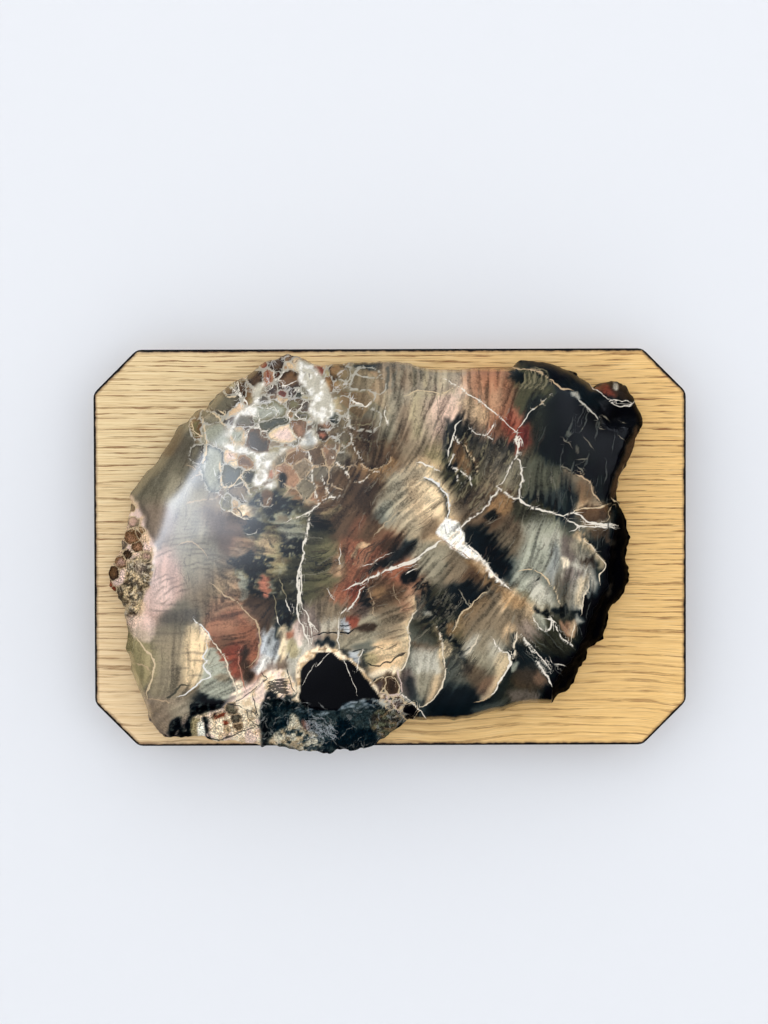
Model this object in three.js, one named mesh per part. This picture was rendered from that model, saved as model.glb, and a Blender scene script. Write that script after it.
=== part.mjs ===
// A polished slab of petrified wood fixed to an oak board with cut corners, which hangs on a wall.
// Millimetres. X is right and Z is up, seen from the front. +Y points into the wall, the plane y = 0.
// The origin is the middle of the hanging cleat's back face, where it lies against the wall.

import * as THREE from 'three';
import { mergeVertices } from 'three/addons/utils/BufferGeometryUtils.js';

// Oak board
const BOARD_WIDTH = 300;
const BOARD_HEIGHT = 201;
const BOARD_THICKNESS = 18;
const CORNER_CUT = 22; // along each edge
const CORNER_ROUND = 2.5; // softens the eight corners of the outline
const ARRIS = 1.2; // small chamfer round both faces

// Cleat and batten behind the board
const STAND_OFF = 10; // thickness of both, which is the board's distance from the wall
const CLEAT_LENGTH = 240;
const CLEAT_BACK_HEIGHT = 35;
const CLEAT_BELOW_BOARD_TOP = 20;
const BATTEN_LENGTH = 240;
const BATTEN_HEIGHT = 20;
const BATTEN_ABOVE_BOARD_BOTTOM = 20;

// Petrified wood slab
const FIT_GAP = 0.3; // between pieces that touch
const CROWN_THICKNESS = 31; // at the middle of the domed face
const CROWN_FALL = 4; // from the middle out to the crown ellipse
const CROWN_CENTRE = new THREE.Vector2(-5, 0);
const CROWN_RADII = new THREE.Vector2(130, 98);
const ROLL_POWER = 5; // how long the face stays flat before it rolls over at the rim
const THINNEST = 6;
const OUTLINE_SCALE = 1.022; // the points are read on a plane in front of the rim
const OUTLINE_SHIFT = new THREE.Vector3(0.5, 0, 0.4);
const RIM_POINTS = 208; // divisible by 8, because the rings halve three times
const ROUGHNESS_DEPTH = 1.6; // of the broken, unpolished parts
const ROUGHNESS_SIZE = 7; // between its lumps on the face
const SIDE_ROUGHNESS_SIZE = 5;
const SIDE_ROUGHNESS = 0.4; // share by which the side's insets vary where it is raw
const LIP = 1; // the least that the face stands above its edge
const RAW_BELOW = 4; // a ledge deeper than this is fully rough
const READING_POWER = 3; // how fast a reading of the rim gives way to the next one
const BACK_INSET = 9; // the flat back is this much smaller than the slab's outline
const FAR_INSIDE = 1000;

// The slab's outline seen from the front, clockwise from its left, from the middle of the board
const OUTLINE = [
    [-128.3, 25], [-119.8, 37.2], [-112.3, 46], [-105, 58.2], [-98.5, 63.5], [-93.5, 67.8],
    [-84.8, 75.2], [-77.5, 81], [-67, 87], [-58, 92], [-50.5, 94.8], [-43, 92.5], [-37.5, 89.8],
    [-24, 90], [-9, 90.6], [5, 90.7], [12, 89], [20, 87.3], [35, 87.2], [54, 87.6], [59.5, 88.3],
    [64.5, 91.8], [76, 90.7], [84, 88], [91, 85.2], [95, 82.2], [99, 78], [102, 80.5],
    [108, 81.5], [115.5, 79.5], [120, 71], [123.7, 63], [121, 54.5], [117, 43.5], [112.3, 33.5],
    [110, 24], [114.5, 17], [117.4, 4], [115.2, -3], [117.2, -13], [115, -22], [109, -28.5],
    [106, -38], [104.5, -45], [97, -50], [95.5, -56], [90.5, -65], [86.5, -71], [78.5, -76.3],
    [63, -76.5], [55, -79.3], [42, -82], [31, -84.3], [12, -84], [7, -86], [0, -91], [-8, -97],
    [-20, -100], [-31, -101.7], [-44, -100.5], [-58, -96.8], [-73, -96], [-84, -95.5],
    [-92, -93], [-103, -93.7], [-112.5, -90.5], [-118.5, -83.5], [-122.5, -72],
    [-127.6, -59.5], [-130.3, -48], [-129.7, -39], [-132.5, -27], [-138.5, -18.5],
    [-138, -10.5], [-133, -2], [-131.5, 4.5], [-129.3, 11.5], [-127.5, 20.5],
];

// How the rim is at places round the slab: how far in it starts to roll over, its thickness at the
// outline, and how broken it is, from 0 for polished to 1 for raw bark
const RIM = [
    { x: -130, z: 22, roll: 34, edge: 9, broken: 0 },
    { x: -140, z: -18, roll: 18, edge: 8, broken: 0.8 },
    { x: -128, z: -65, roll: 20, edge: 9, broken: 0.1 },
    { x: -102, z: -95, roll: 12, edge: 8, broken: 0.7 },
    { x: -30, z: -103, roll: 10, edge: 7, broken: 1 },
    { x: 20, z: -85, roll: 14, edge: 12, broken: 0.1 },
    { x: 62, z: -78, roll: 14, edge: 12, broken: 0.1 },
    { x: 96, z: -57, roll: 10, edge: 9, broken: 1 },
    { x: 118, z: -10, roll: 10, edge: 9, broken: 1 },
    { x: 115, z: 35, roll: 10, edge: 9, broken: 0.7 },
    { x: 120, z: 74, roll: 12, edge: 10, broken: 0.6 },
    { x: 80, z: 91, roll: 15, edge: 10, broken: 0.2 },
    { x: 35, z: 89, roll: 16, edge: 11, broken: 0 },
    { x: -30, z: 92, roll: 15, edge: 10, broken: 0.1 },
    { x: -80, z: 80, roll: 22, edge: 9, broken: 0.1 },
    { x: -114, z: 46, roll: 32, edge: 9, broken: 0 },
];

// Raw ledges that step down from the polished face. Each is an area, the depth of the step and its run
const LEDGES = [
    { // the lump under the black knot
        drop: 8, run: 5,
        area: [
            [-62, -72], [-52, -73], [-45, -72], [-40, -77], [-27, -79], [-12, -75], [-4, -76],
            [4, -79], [12, -82], [14, -110], [-66, -110],
        ],
    },
    { // cream rubble left of the lump
        drop: 5, run: 6,
        area: [
            [-112, -92], [-104, -82], [-96, -76], [-84, -75], [-72, -78], [-64, -76],
            [-62, -110], [-115, -110],
        ],
    },
    { // pink breccia on the left
        drop: 6, run: 9,
        area: [
            [-124, 14], [-117, 4], [-117, -12], [-121, -26], [-125, -40], [-127, -52],
            [-150, -52], [-150, 14],
        ],
    },
    { // bark down the right side
        drop: 8, run: 6,
        area: [
            [102, 24], [109, 9], [106, -6], [106, -18], [99, -29], [95, -42], [88, -54], [78, -68],
            [80, -90], [130, -60], [135, 24],
        ],
    },
    { // brown break in the right-hand side
        drop: 8, run: 5,
        area: [
            [106, 24], [108, 33], [111, 41], [113.5, 48], [117, 56], [121, 62], [135, 62], [135, 24],
        ],
    },
    { // dark upper right, where the polish ends
        drop: 3, run: 7,
        area: [
            [57, 96], [60, 89], [72, 86.5], [83, 80], [92, 74], [100, 66], [108, 58], [135, 60],
            [135, 100],
        ],
    },
];

// The knob at the top of the right-hand end
const KNOB = { x: 110, z: 74, radius: 8, lift: 5 };

// Rings over the face: first by distance in from the outline, then by share of what is left
const RIM_INSETS = [1, 2.6, 4.8, 7.6, 11.4, 16.5, 24];
const INNER_SHARES = [0.88, 0.75, 0.62, 0.5, 0.38, 0.27, 0.16, 0.07];
const HALVE_BEFORE = [0, 3, 6]; // inner rings that have half the points of the ring outside them

// Rings round the side and underside: distance in from the outline, and share of the edge's thickness
const SIDE_RINGS = [[0, 1], [1.6, 0.6], [5.4, 0.2], [BACK_INSET, 0]];


// Surface of the slab

// The outline as a smooth closed curve, anticlockwise, as evenly spaced points
function sampledOutline() {
    const corners = OUTLINE.map(([x, z]) => (
        new THREE.Vector3(x, 0, z).multiplyScalar(OUTLINE_SCALE).add(OUTLINE_SHIFT)
    ));
    const curve = new THREE.CatmullRomCurve3(corners.reverse(), true, 'centripetal');
    const spaced = curve.getSpacedPoints(RIM_POINTS).slice(0, RIM_POINTS);
    return spaced.map((p) => new THREE.Vector2(p.x, p.z));
}

function distanceToPolygon(point, polygon) {
    let best = FAR_INSIDE;
    for (let i = 0; i < polygon.length; i++) {
        const start = polygon[i];
        const along = polygon[(i + 1) % polygon.length].clone().sub(start);
        const share = THREE.MathUtils.clamp(point.clone().sub(start).dot(along) / along.lengthSq(), 0, 1);
        best = Math.min(best, start.clone().addScaledVector(along, share).distanceTo(point));
    }
    return best;
}

function isInside(point, polygon) {
    let inside = false;
    for (let i = 0, j = polygon.length - 1; i < polygon.length; j = i++) {
        const [a, b] = [polygon[i], polygon[j]];
        const crosses = (a.y > point.y) !== (b.y > point.y);
        if (crosses && point.x < ((b.x - a.x) * (point.y - a.y)) / (b.y - a.y) + a.x) inside = !inside;
    }
    return inside;
}

// Smooth noise from -1 to 1, from a value at each corner of a grid
function noise(x, z) {
    const corner = (i, j) => {
        const wave = Math.sin(i * 127.1 + j * 311.7) * 43758.5453;
        return 2 * (wave - Math.floor(wave)) - 1;
    };
    const [i, j] = [Math.floor(x), Math.floor(z)];
    const [u, v] = [THREE.MathUtils.smoothstep(x - i, 0, 1), THREE.MathUtils.smoothstep(z - j, 0, 1)];
    const low = THREE.MathUtils.lerp(corner(i, j), corner(i + 1, j), u);
    const high = THREE.MathUtils.lerp(corner(i, j + 1), corner(i + 1, j + 1), u);
    return THREE.MathUtils.lerp(low, high, v);
}

const slabOutline = sampledOutline();
const ledges = LEDGES.map(({ drop, run, area }) => (
    { drop, run, area: area.map(([x, z]) => new THREE.Vector2(x, z)) }
));

// The rim's roll, edge thickness and brokenness at a place, from the nearest readings
function rimAt(point) {
    const sum = { roll: 0, edge: 0, broken: 0 };
    let weights = 0;
    for (const reading of RIM) {
        const away = Math.hypot(point.x - reading.x, point.y - reading.z);
        const weight = 1 / (Math.pow(away, READING_POWER) + 1);
        weights += weight;
        for (const key of Object.keys(sum)) sum[key] += weight * reading[key];
    }
    for (const key of Object.keys(sum)) sum[key] /= weights;
    return sum;
}

function ledgeDepth(point) {
    let depth = 0;
    for (const { drop, run, area } of ledges) {
        if (isInside(point, area)) {
            depth = Math.max(depth, drop * THREE.MathUtils.smoothstep(distanceToPolygon(point, area), 0, run));
        }
    }
    return depth;
}

function domeThickness(point) {
    const across = point.clone().sub(CROWN_CENTRE).divide(CROWN_RADII).lengthSq();
    return CROWN_THICKNESS - CROWN_FALL * across;
}

// Thickness of the slab at a place on its face, measured from its flat back
function faceThickness(point) {
    const rim = rimAt(point);
    const rolled = 1 - Math.min(distanceToPolygon(point, slabOutline) / rim.roll, 1);
    const crown = rim.edge + (domeThickness(point) - rim.edge) * (1 - Math.pow(rolled, ROLL_POWER));
    const ledge = ledgeDepth(point);
    const rough = Math.max(rim.broken * rolled, Math.min(ledge / RAW_BELOW, 1));
    const grain = noise(point.x / ROUGHNESS_SIZE, point.y / ROUGHNESS_SIZE) * ROUGHNESS_DEPTH * rough;
    const fromKnob = Math.hypot(point.x - KNOB.x, point.y - KNOB.z) / KNOB.radius;
    const knob = KNOB.lift * Math.exp(-fromKnob * fromKnob);
    return Math.max(crown - ledge + grain + knob, THINNEST);
}


// Slab mesh, as rings of points round its middle

function insetPoint(point, inset) {
    const radius = point.distanceTo(CROWN_CENTRE);
    return point.clone().sub(CROWN_CENTRE).multiplyScalar(1 - inset / radius).add(CROWN_CENTRE);
}

function sidePoint(point, inset, share) {
    const rim = rimAt(point);
    const bump = noise(point.x / SIDE_ROUGHNESS_SIZE, point.y / SIDE_ROUGHNESS_SIZE + inset);
    const place = insetPoint(point, inset * (1 + SIDE_ROUGHNESS * bump * rim.broken));
    const edge = Math.min(rim.edge, faceThickness(insetPoint(point, RIM_INSETS[0])) - LIP);
    return new THREE.Vector3(place.x, -edge * share, place.y);
}

function facePoint(place) {
    return new THREE.Vector3(place.x, -faceThickness(place), place.y);
}

function slabRings() {
    const back = [...SIDE_RINGS].reverse();
    const rings = back.map(([inset, share]) => slabOutline.map((p) => sidePoint(p, inset, share)));
    for (const inset of RIM_INSETS) rings.push(slabOutline.map((p) => facePoint(insetPoint(p, inset))));
    let around = slabOutline.map((p) => insetPoint(p, RIM_INSETS[RIM_INSETS.length - 1]));
    INNER_SHARES.forEach((share, index) => {
        if (HALVE_BEFORE.includes(index)) around = around.filter((_, i) => i % 2 === 0);
        rings.push(around.map((p) => facePoint(p.clone().lerp(CROWN_CENTRE, 1 - share))));
    });
    return rings;
}

// Triangles between a ring and the next one in, which has as many points or half as many
function stitch(outerStart, outerCount, innerStart, innerCount) {
    const step = outerCount / innerCount;
    const faces = [];
    for (let j = 0; j < innerCount; j++) {
        const outer = (s) => outerStart + ((j * step + s) % outerCount);
        const inner = (s) => innerStart + ((j + s) % innerCount);
        faces.push([outer(0), outer(1), inner(0)], [outer(1), inner(1), inner(0)]);
        if (step === 2) faces.push([outer(1), outer(2), inner(1)]);
    }
    return faces;
}

function slabGeometry() {
    const rings = slabRings();
    const vertices = [];
    const starts = rings.map((ring) => vertices.push(...ring) - ring.length);
    const faces = rings.slice(1).flatMap((ring, k) => (
        stitch(starts[k], rings[k].length, starts[k + 1], ring.length)
    ));
    const last = rings.length - 1;
    const middle = vertices.push(facePoint(CROWN_CENTRE)) - 1;
    rings[last].forEach((_, j) => {
        faces.push([starts[last] + j, starts[last] + ((j + 1) % rings[last].length), middle]);
    });
    const backOutline = rings[0].map((v) => new THREE.Vector2(v.x, v.z));
    for (const [a, b, c] of THREE.ShapeUtils.triangulateShape(backOutline, [])) faces.push([c, b, a]);

    const geometry = new THREE.BufferGeometry().setFromPoints(vertices);
    geometry.setIndex(faces.flat());
    geometry.computeVertexNormals();
    return geometry;
}


// Board, cleat and batten

// Board outline with its four corners cut at 45 degrees and each of the eight corners softened
function boardShape() {
    const [w, h, cut] = [BOARD_WIDTH / 2, BOARD_HEIGHT / 2, CORNER_CUT];
    const corners = [
        [-w + cut, -h], [w - cut, -h], [w, -h + cut], [w, h - cut],
        [w - cut, h], [-w + cut, h], [-w, h - cut], [-w, -h + cut],
    ].map(([x, z]) => new THREE.Vector2(x, z));
    const shape = new THREE.Shape();
    corners.forEach((corner, i) => {
        const before = corners[(i + 7) % 8];
        const after = corners[(i + 1) % 8];
        const start = corner.clone().add(before.clone().sub(corner).setLength(CORNER_ROUND));
        const end = corner.clone().add(after.clone().sub(corner).setLength(CORNER_ROUND));
        if (i === 0) shape.moveTo(start.x, start.y);
        else shape.lineTo(start.x, start.y);
        shape.quadraticCurveTo(corner.x, corner.y, end.x, end.y);
    });
    shape.closePath();
    return shape;
}

function boardGeometry() {
    const geometry = new THREE.ExtrudeGeometry(boardShape(), {
        depth: BOARD_THICKNESS - 2 * ARRIS,
        bevelEnabled: true,
        bevelThickness: ARRIS,
        bevelSize: ARRIS,
        bevelOffset: -ARRIS,
        bevelSegments: 1,
        curveSegments: 3,
    });
    geometry.translate(0, 0, ARRIS);
    geometry.rotateX(Math.PI / 2);
    return welded(geometry);
}

// The upper cleat's section: its underside slopes at 45 degrees, lowest against the wall
function cleatGeometry() {
    const top = CLEAT_BACK_HEIGHT / 2;
    const section = new THREE.Shape([
        new THREE.Vector2(0, top),
        new THREE.Vector2(-STAND_OFF, top),
        new THREE.Vector2(-STAND_OFF, STAND_OFF - top),
        new THREE.Vector2(0, -top),
    ]);
    const geometry = new THREE.ExtrudeGeometry(section, { depth: CLEAT_LENGTH, bevelEnabled: false });
    geometry.translate(0, 0, -CLEAT_LENGTH / 2);
    geometry.rotateY(Math.PI / 2);
    geometry.rotateX(Math.PI / 2);
    return welded(geometry);
}

function welded(geometry) {
    geometry.deleteAttribute('normal');
    geometry.deleteAttribute('uv');
    const merged = mergeVertices(geometry, 1e-4);
    merged.computeVertexNormals();
    return merged;
}


// Assembly

function piece(name, geometry, color, roughness) {
    const material = new THREE.MeshStandardMaterial({ color, roughness, metalness: 0 });
    const mesh = new THREE.Mesh(geometry, material);
    mesh.name = name;
    return mesh;
}

const object = new THREE.Group();

const cleat = piece('hanging_cleat', cleatGeometry(), 0xc9a878, 0.7);
object.add(cleat);

// Board and what it carries, with its middle as their origin
const boardCentreZ = CLEAT_BACK_HEIGHT / 2 + CLEAT_BELOW_BOARD_TOP - BOARD_HEIGHT / 2;
const panel = new THREE.Group();
panel.position.set(0, 0, boardCentreZ);
object.add(panel);

const board = piece('oak_board', boardGeometry(), 0xdcb677, 0.55);
board.position.y = -STAND_OFF - FIT_GAP;
panel.add(board);

const batten = piece(
    'lower_batten',
    new THREE.BoxGeometry(BATTEN_LENGTH, STAND_OFF, BATTEN_HEIGHT),
    0xc9a878,
    0.7,
);
batten.position.set(0, -STAND_OFF / 2, BATTEN_ABOVE_BOARD_BOTTOM + (BATTEN_HEIGHT - BOARD_HEIGHT) / 2);
panel.add(batten);

const slab = piece('petrified_wood', slabGeometry(), 0x5a5044, 0.2);
slab.position.y = board.position.y - BOARD_THICKNESS - FIT_GAP;
panel.add(slab);

export default object;
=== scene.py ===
from math import cos, radians, sin

import bpy
import numpy as np
from mathutils import Matrix, Vector
from mathutils.geometry import delaunay_2d_cdt


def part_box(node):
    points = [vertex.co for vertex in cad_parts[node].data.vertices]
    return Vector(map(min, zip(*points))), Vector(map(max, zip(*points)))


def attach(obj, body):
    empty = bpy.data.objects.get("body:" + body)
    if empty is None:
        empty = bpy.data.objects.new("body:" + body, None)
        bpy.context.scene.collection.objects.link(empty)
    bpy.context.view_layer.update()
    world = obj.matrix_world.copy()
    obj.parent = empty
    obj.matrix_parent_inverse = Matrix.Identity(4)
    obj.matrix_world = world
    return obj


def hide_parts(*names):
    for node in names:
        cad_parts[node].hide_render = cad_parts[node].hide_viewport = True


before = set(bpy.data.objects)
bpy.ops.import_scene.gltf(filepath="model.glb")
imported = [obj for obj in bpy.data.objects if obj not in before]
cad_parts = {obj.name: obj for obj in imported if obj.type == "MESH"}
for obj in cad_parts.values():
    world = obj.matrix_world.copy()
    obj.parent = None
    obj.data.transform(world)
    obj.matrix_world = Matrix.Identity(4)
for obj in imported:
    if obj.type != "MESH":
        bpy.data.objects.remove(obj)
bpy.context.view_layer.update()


# Camera
# It stands where the photograph was taken from: square on to the wall, a little above the board's middle,
# and it looks down by less than a degree. It also fixes where the marks on the stone are read from.

BOARD_LOW, BOARD_HIGH = (Vector(corner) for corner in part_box("oak_board"))
BOARD_MIDDLE = (BOARD_LOW + BOARD_HIGH) / 2
CAMERA_DISTANCE = 0.900  # from the board's face
CAMERA_LEFT = 0.00303
CAMERA_ABOVE = 0.03215  # the board's middle
CAMERA_PITCH = radians(-0.90)
CAMERA_ROLL = radians(-0.178)
FOCAL_PIXELS = 1777.6
PICTURE_SIZE = (768, 1024)
SENSOR = 36.0  # mm

EYE = Vector((-CAMERA_LEFT, BOARD_LOW.y - CAMERA_DISTANCE, BOARD_MIDDLE.z + CAMERA_ABOVE))
FORWARD = Vector((0, cos(CAMERA_PITCH), sin(CAMERA_PITCH)))
level_right = Vector((1, 0, 0))
level_up = level_right.cross(FORWARD)
RIGHT = level_right * cos(CAMERA_ROLL) + level_up * sin(CAMERA_ROLL)
UP = level_up * cos(CAMERA_ROLL) - level_right * sin(CAMERA_ROLL)

camera_data = bpy.data.cameras.new("camera")
camera_data.sensor_width = SENSOR
camera_data.lens = FOCAL_PIXELS / max(PICTURE_SIZE) * SENSOR
camera_data.clip_start = 0.01
camera = bpy.data.objects.new("camera", camera_data)
camera.matrix_world = Matrix.Translation(EYE) @ Matrix((RIGHT, UP, -FORWARD)).transposed().to_4x4()
bpy.context.scene.collection.objects.link(camera)
bpy.context.scene.camera = camera


# Oak board
# A single plank of oak with its corners sawn off at 45 degrees, oiled on the face. Its rings run straight
# along the upper part and spread into wider, wavier ones below. Its edges are scorched black.

OAK_STRAW = (0.88, 0.68, 0.36)
OAK_GOLD = (0.97, 0.62, 0.225)
OAK_PINK = (0.97, 0.71, 0.42)
OAK_PORE = (0.24, 0.085, 0.022)
LATE_WOOD = (0.62, 0.37, 0.13)
FIBRE_BROWN = (0.58, 0.31, 0.09)
FIBRE_PALE = (1.0, 0.86, 0.58)
SCORCH = (0.16, 0.05, 0.012)
CHAR = (0.006, 0.004, 0.004)
CHAR_WIDTH = 1.15  # mm in from the edge of the face
SCORCH_WIDTH = 2.6
CHAR_RAGGED = 1.6
RING_SPACING = 2.9  # mm, in the upper part
WIDE_RING_SPACING = 4.6  # in the lower part
RINGS_WIDEN_BELOW = -42  # mm from the board's middle
FOOT_SWAY = (-20, -85, 2.2, 13.0)  # from the first height down to the second, how far rings sway, in mm
RIPPLE = 0.4  # mm
CORNER_CUT = 22  # mm along each edge


class Nodes:
    """Short ways to add and join the nodes of one tree."""

    def __init__(self, tree):
        self.tree = tree

    def add(self, kind, *inputs, **settings):
        """A node whose inputs, in order, are values or other nodes' sockets. None leaves one as it is."""
        node = self.tree.nodes.new(kind)
        for name, value in settings.items():
            setattr(node, name, value)
        for socket, value in zip([s for s in node.inputs if s.enabled], inputs):
            self.give(socket, value)
        return node

    def give(self, socket, value):
        if isinstance(value, bpy.types.NodeSocket):
            self.tree.links.new(value, socket)
        elif value is not None:
            socket.default_value = value

    def math(self, operation, *inputs):
        return self.add("ShaderNodeMath", *inputs, operation=operation).outputs[0]

    def plus(self, first, second):
        return self.math("ADD", first, second)

    def minus(self, first, second):
        return self.math("SUBTRACT", first, second)

    def times(self, first, second):
        return self.math("MULTIPLY", first, second)

    def ramp(self, value, low, high, bottom=0.0, top=1.0):
        """Smooth step of a value from low to high."""
        ends = (low, high, bottom, top)
        return self.add("ShaderNodeMapRange", value, *ends, interpolation_type="SMOOTHSTEP").outputs[0]

    def mix(self, share, first, second, blend="MIX"):
        node = self.add("ShaderNodeMix", data_type="RGBA", blend_type=blend, clamp_result=False)
        for socket, value in ((node.inputs[0], share), (node.inputs[6], first), (node.inputs[7], second)):
            if isinstance(value, tuple) and len(value) == 3:
                value = value + (1.0,)
            self.give(socket, value)
        return node.outputs[2]

    def shade(self, colour, value):
        """A colour made lighter or darker by a value."""
        grey = self.add("ShaderNodeCombineColor", value, value, value).outputs[0]
        return self.mix(1.0, colour, grey, "MULTIPLY")

    def place(self, x, y, z):
        return self.add("ShaderNodeCombineXYZ", x, y, z).outputs[0]

    def scaled(self, vector, scale):
        return self.add("ShaderNodeVectorMath", vector, scale, operation="MULTIPLY").outputs[0]

    def place_in_mm(self, origin=(0, 0, 0)):
        """Where a point of the object is, in mm from an origin that is in metres."""
        at = self.add("ShaderNodeTexCoord").outputs["Object"]
        moved = self.add("ShaderNodeVectorMath", at, tuple(origin), operation="SUBTRACT")
        return self.scaled(moved.outputs[0], (1000, 1000, 1000))

    def noise(self, vector, scale, detail=2.0, roughness=0.5):
        node = self.add("ShaderNodeTexNoise")
        settings = {"Vector": vector, "Scale": scale, "Detail": detail, "Roughness": roughness}
        for name, value in settings.items():
            self.give(node.inputs[name], value)
        return node.outputs[0]

    def dents(self, shader, height, strength, distance):
        """Relief from a height: how strongly it shades, and what a height of one stands for, in metres."""
        node = self.add("ShaderNodeBump")
        for name, value in (("Strength", strength), ("Distance", distance), ("Height", height)):
            self.give(node.inputs[name], value)
        self.give(shader.inputs["Normal"], node.outputs[0])


def new_material(name, roughness, colour=None):
    material = bpy.data.materials.new(name)
    material.use_nodes = True
    shader = material.node_tree.nodes["Principled BSDF"]
    shader.inputs["Roughness"].default_value = roughness
    if colour:
        shader.inputs["Base Color"].default_value = colour + (1,)
    return material, Nodes(material.node_tree), shader


def wood_grain_group():
    """Rings and pores of wood. The grain runs along X of the place, which is in mm, and rings cross Y."""
    group = bpy.data.node_groups.new("wood grain", "ShaderNodeTree")
    for label, kind, way in (("Place", "Vector", "INPUT"), ("Ring phase", "Float", "INPUT"),
                             ("Pores", "Float", "OUTPUT"), ("Late wood", "Float", "OUTPUT"),
                             ("Fibres", "Float", "OUTPUT")):
        group.interface.new_socket(label, in_out=way, socket_type="NodeSocket" + kind)
    n = Nodes(group)
    place, phase = n.add("NodeGroupInput").outputs[:2]
    spread = n.times(n.noise(n.scaled(place, (0.006, 0.16, 0.1)), 1.0, 2.0, 0.6), 1.7)
    saw = n.math("FRACT", n.plus(phase, spread))
    # the porous early wood: a band of uneven width, broken into dashes
    broken = n.noise(n.scaled(place, (0.030, 0.42, 0.2)), 1.0, 3.0, 0.6)
    width = n.ramp(broken, 0.36, 0.74, -0.03, 0.26)
    off_middle = n.math("ABSOLUTE", n.minus(saw, 0.4))
    early = n.minus(1.0, n.ramp(n.minus(off_middle, width), -0.05, 0.09))
    dashes = n.noise(n.scaled(place, (0.09, 4.2, 0.9)), 1.0, 4.0, 0.6)
    pores = n.times(early, n.ramp(dashes, 0.42, 0.56))
    specks = n.noise(n.scaled(place, (0.05, 3.0, 1.5)), 1.0, 3.0, 0.55)
    stray = n.times(n.ramp(specks, 0.54, 0.70), 0.5)
    fibres = n.noise(n.scaled(place, (0.045, 3.6, 2.0)), 1.0, 3.0, 0.6)
    n.add("NodeGroupOutput", n.math("MAXIMUM", pores, stray), n.ramp(saw, 0.55, 1.0), fibres)
    return group


def dress(piece, material):
    """Give a piece of the CAD model a material."""
    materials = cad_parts[piece].data.materials
    materials.clear()
    materials.append(material)


wood_grain = wood_grain_group()


def oak_material():
    material, n, shader = new_material("oiled oak", 0.5)
    middle = n.place_in_mm(BOARD_MIDDLE)
    x, depth, z = n.add("ShaderNodeSeparateXYZ", middle).outputs

    def drift(along, up, offset, detail, roughness):
        """Smooth noise either side of nought, drawn out along the board."""
        place = n.place(n.times(x, along), n.times(z, up), offset)
        return n.minus(n.noise(place, 1.0, detail, roughness), 0.5)

    # the rings' height wanders along the board, more so near its foot
    across = n.plus(z, n.times(drift(0.011, 0.016, 1.7, 2.0, 0.45), n.ramp(z, *FOOT_SWAY)))
    across = n.plus(across, n.times(drift(0.05, 0.09, 4.0, 1.0, 0.5), RIPPLE))
    upper = n.math("DIVIDE", n.math("MAXIMUM", across, RINGS_WIDEN_BELOW), RING_SPACING)
    below = n.math("MINIMUM", n.minus(across, RINGS_WIDEN_BELOW), 0.0)
    phase = n.plus(upper, n.math("DIVIDE", below, WIDE_RING_SPACING))
    grain = n.add("ShaderNodeGroup", n.place(x, across, depth), phase, node_tree=wood_grain)
    pores, late, fibres = grain.outputs
    # pale straw at the upper left, deeper gold at the lower right, pinkish at the lower left
    to_low_right = n.plus(n.times(x, 0.006), n.times(z, -0.0015))
    colour = n.mix(n.ramp(to_low_right, -0.85, 0.75), OAK_STRAW, OAK_GOLD)
    to_low_left = n.plus(n.times(x, -0.01), n.times(z, -0.012))
    colour = n.mix(n.ramp(to_low_left, 0.9, 2.6, 0.0, 0.6), colour, OAK_PINK)
    colour = n.mix(n.times(late, 0.22), colour, LATE_WOOD)
    colour = n.mix(n.ramp(fibres, 0.38, 0.72, 0.0, 0.42), colour, FIBRE_BROWN)
    colour = n.mix(n.ramp(fibres, 0.46, 0.30, 0.0, 0.28), colour, FIBRE_PALE)
    colour = n.mix(n.times(pores, n.ramp(z, -100, 10, 0.6, 0.95)), colour, OAK_PORE)
    # scorched edge, from the distance in to the nearest of the eight sides
    half_width, half_height = ((BOARD_HIGH - BOARD_MIDDLE) * 1000).xz
    far_x, far_z = n.math("ABSOLUTE", x), n.math("ABSOLUTE", z)
    to_cut = n.times(n.minus(half_width + half_height - CORNER_CUT, n.plus(far_x, far_z)), sin(radians(45)))
    to_side = n.math("MINIMUM", n.minus(half_width, far_x), n.minus(half_height, far_z))
    ragged = n.minus(n.noise(n.scaled(middle, (0.26, 0.26, 0.26)), 1.0, 3.0, 0.6), 0.45)
    inward = n.minus(n.math("MINIMUM", to_side, to_cut), n.times(ragged, CHAR_RAGGED))
    colour = n.mix(n.ramp(inward, CHAR_WIDTH, SCORCH_WIDTH, 0.55, 0.0), colour, SCORCH)
    char = n.ramp(inward, CHAR_WIDTH - 0.35, CHAR_WIDTH + 0.35, 1.0, 0.0)
    n.give(shader.inputs["Base Color"], n.mix(char, colour, CHAR))
    n.give(shader.inputs["Roughness"], n.plus(n.times(n.plus(pores, char), 0.2), 0.42))
    shader.inputs["Specular IOR Level"].default_value = 0.35
    n.dents(shader, n.minus(n.times(fibres, 0.25), pores), 0.5, 0.00025)
    return material


dress("oak_board", oak_material())


# Hanging cleat and lower batten
# Two planed strips of plain pale softwood behind the board, guessed. The cleat's sloping underside hooks over
# a rail on the wall, and the batten keeps the board's foot the same distance out.

STRIP_PALE = (0.62, 0.43, 0.23)
STRIP_DARK = (0.42, 0.24, 0.10)
STRIP_RING_SPACING = 4.0  # mm
RING_LEAN = 0.6  # how much a ring's height changes with depth
RING_WANDER = 9.0  # mm


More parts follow.
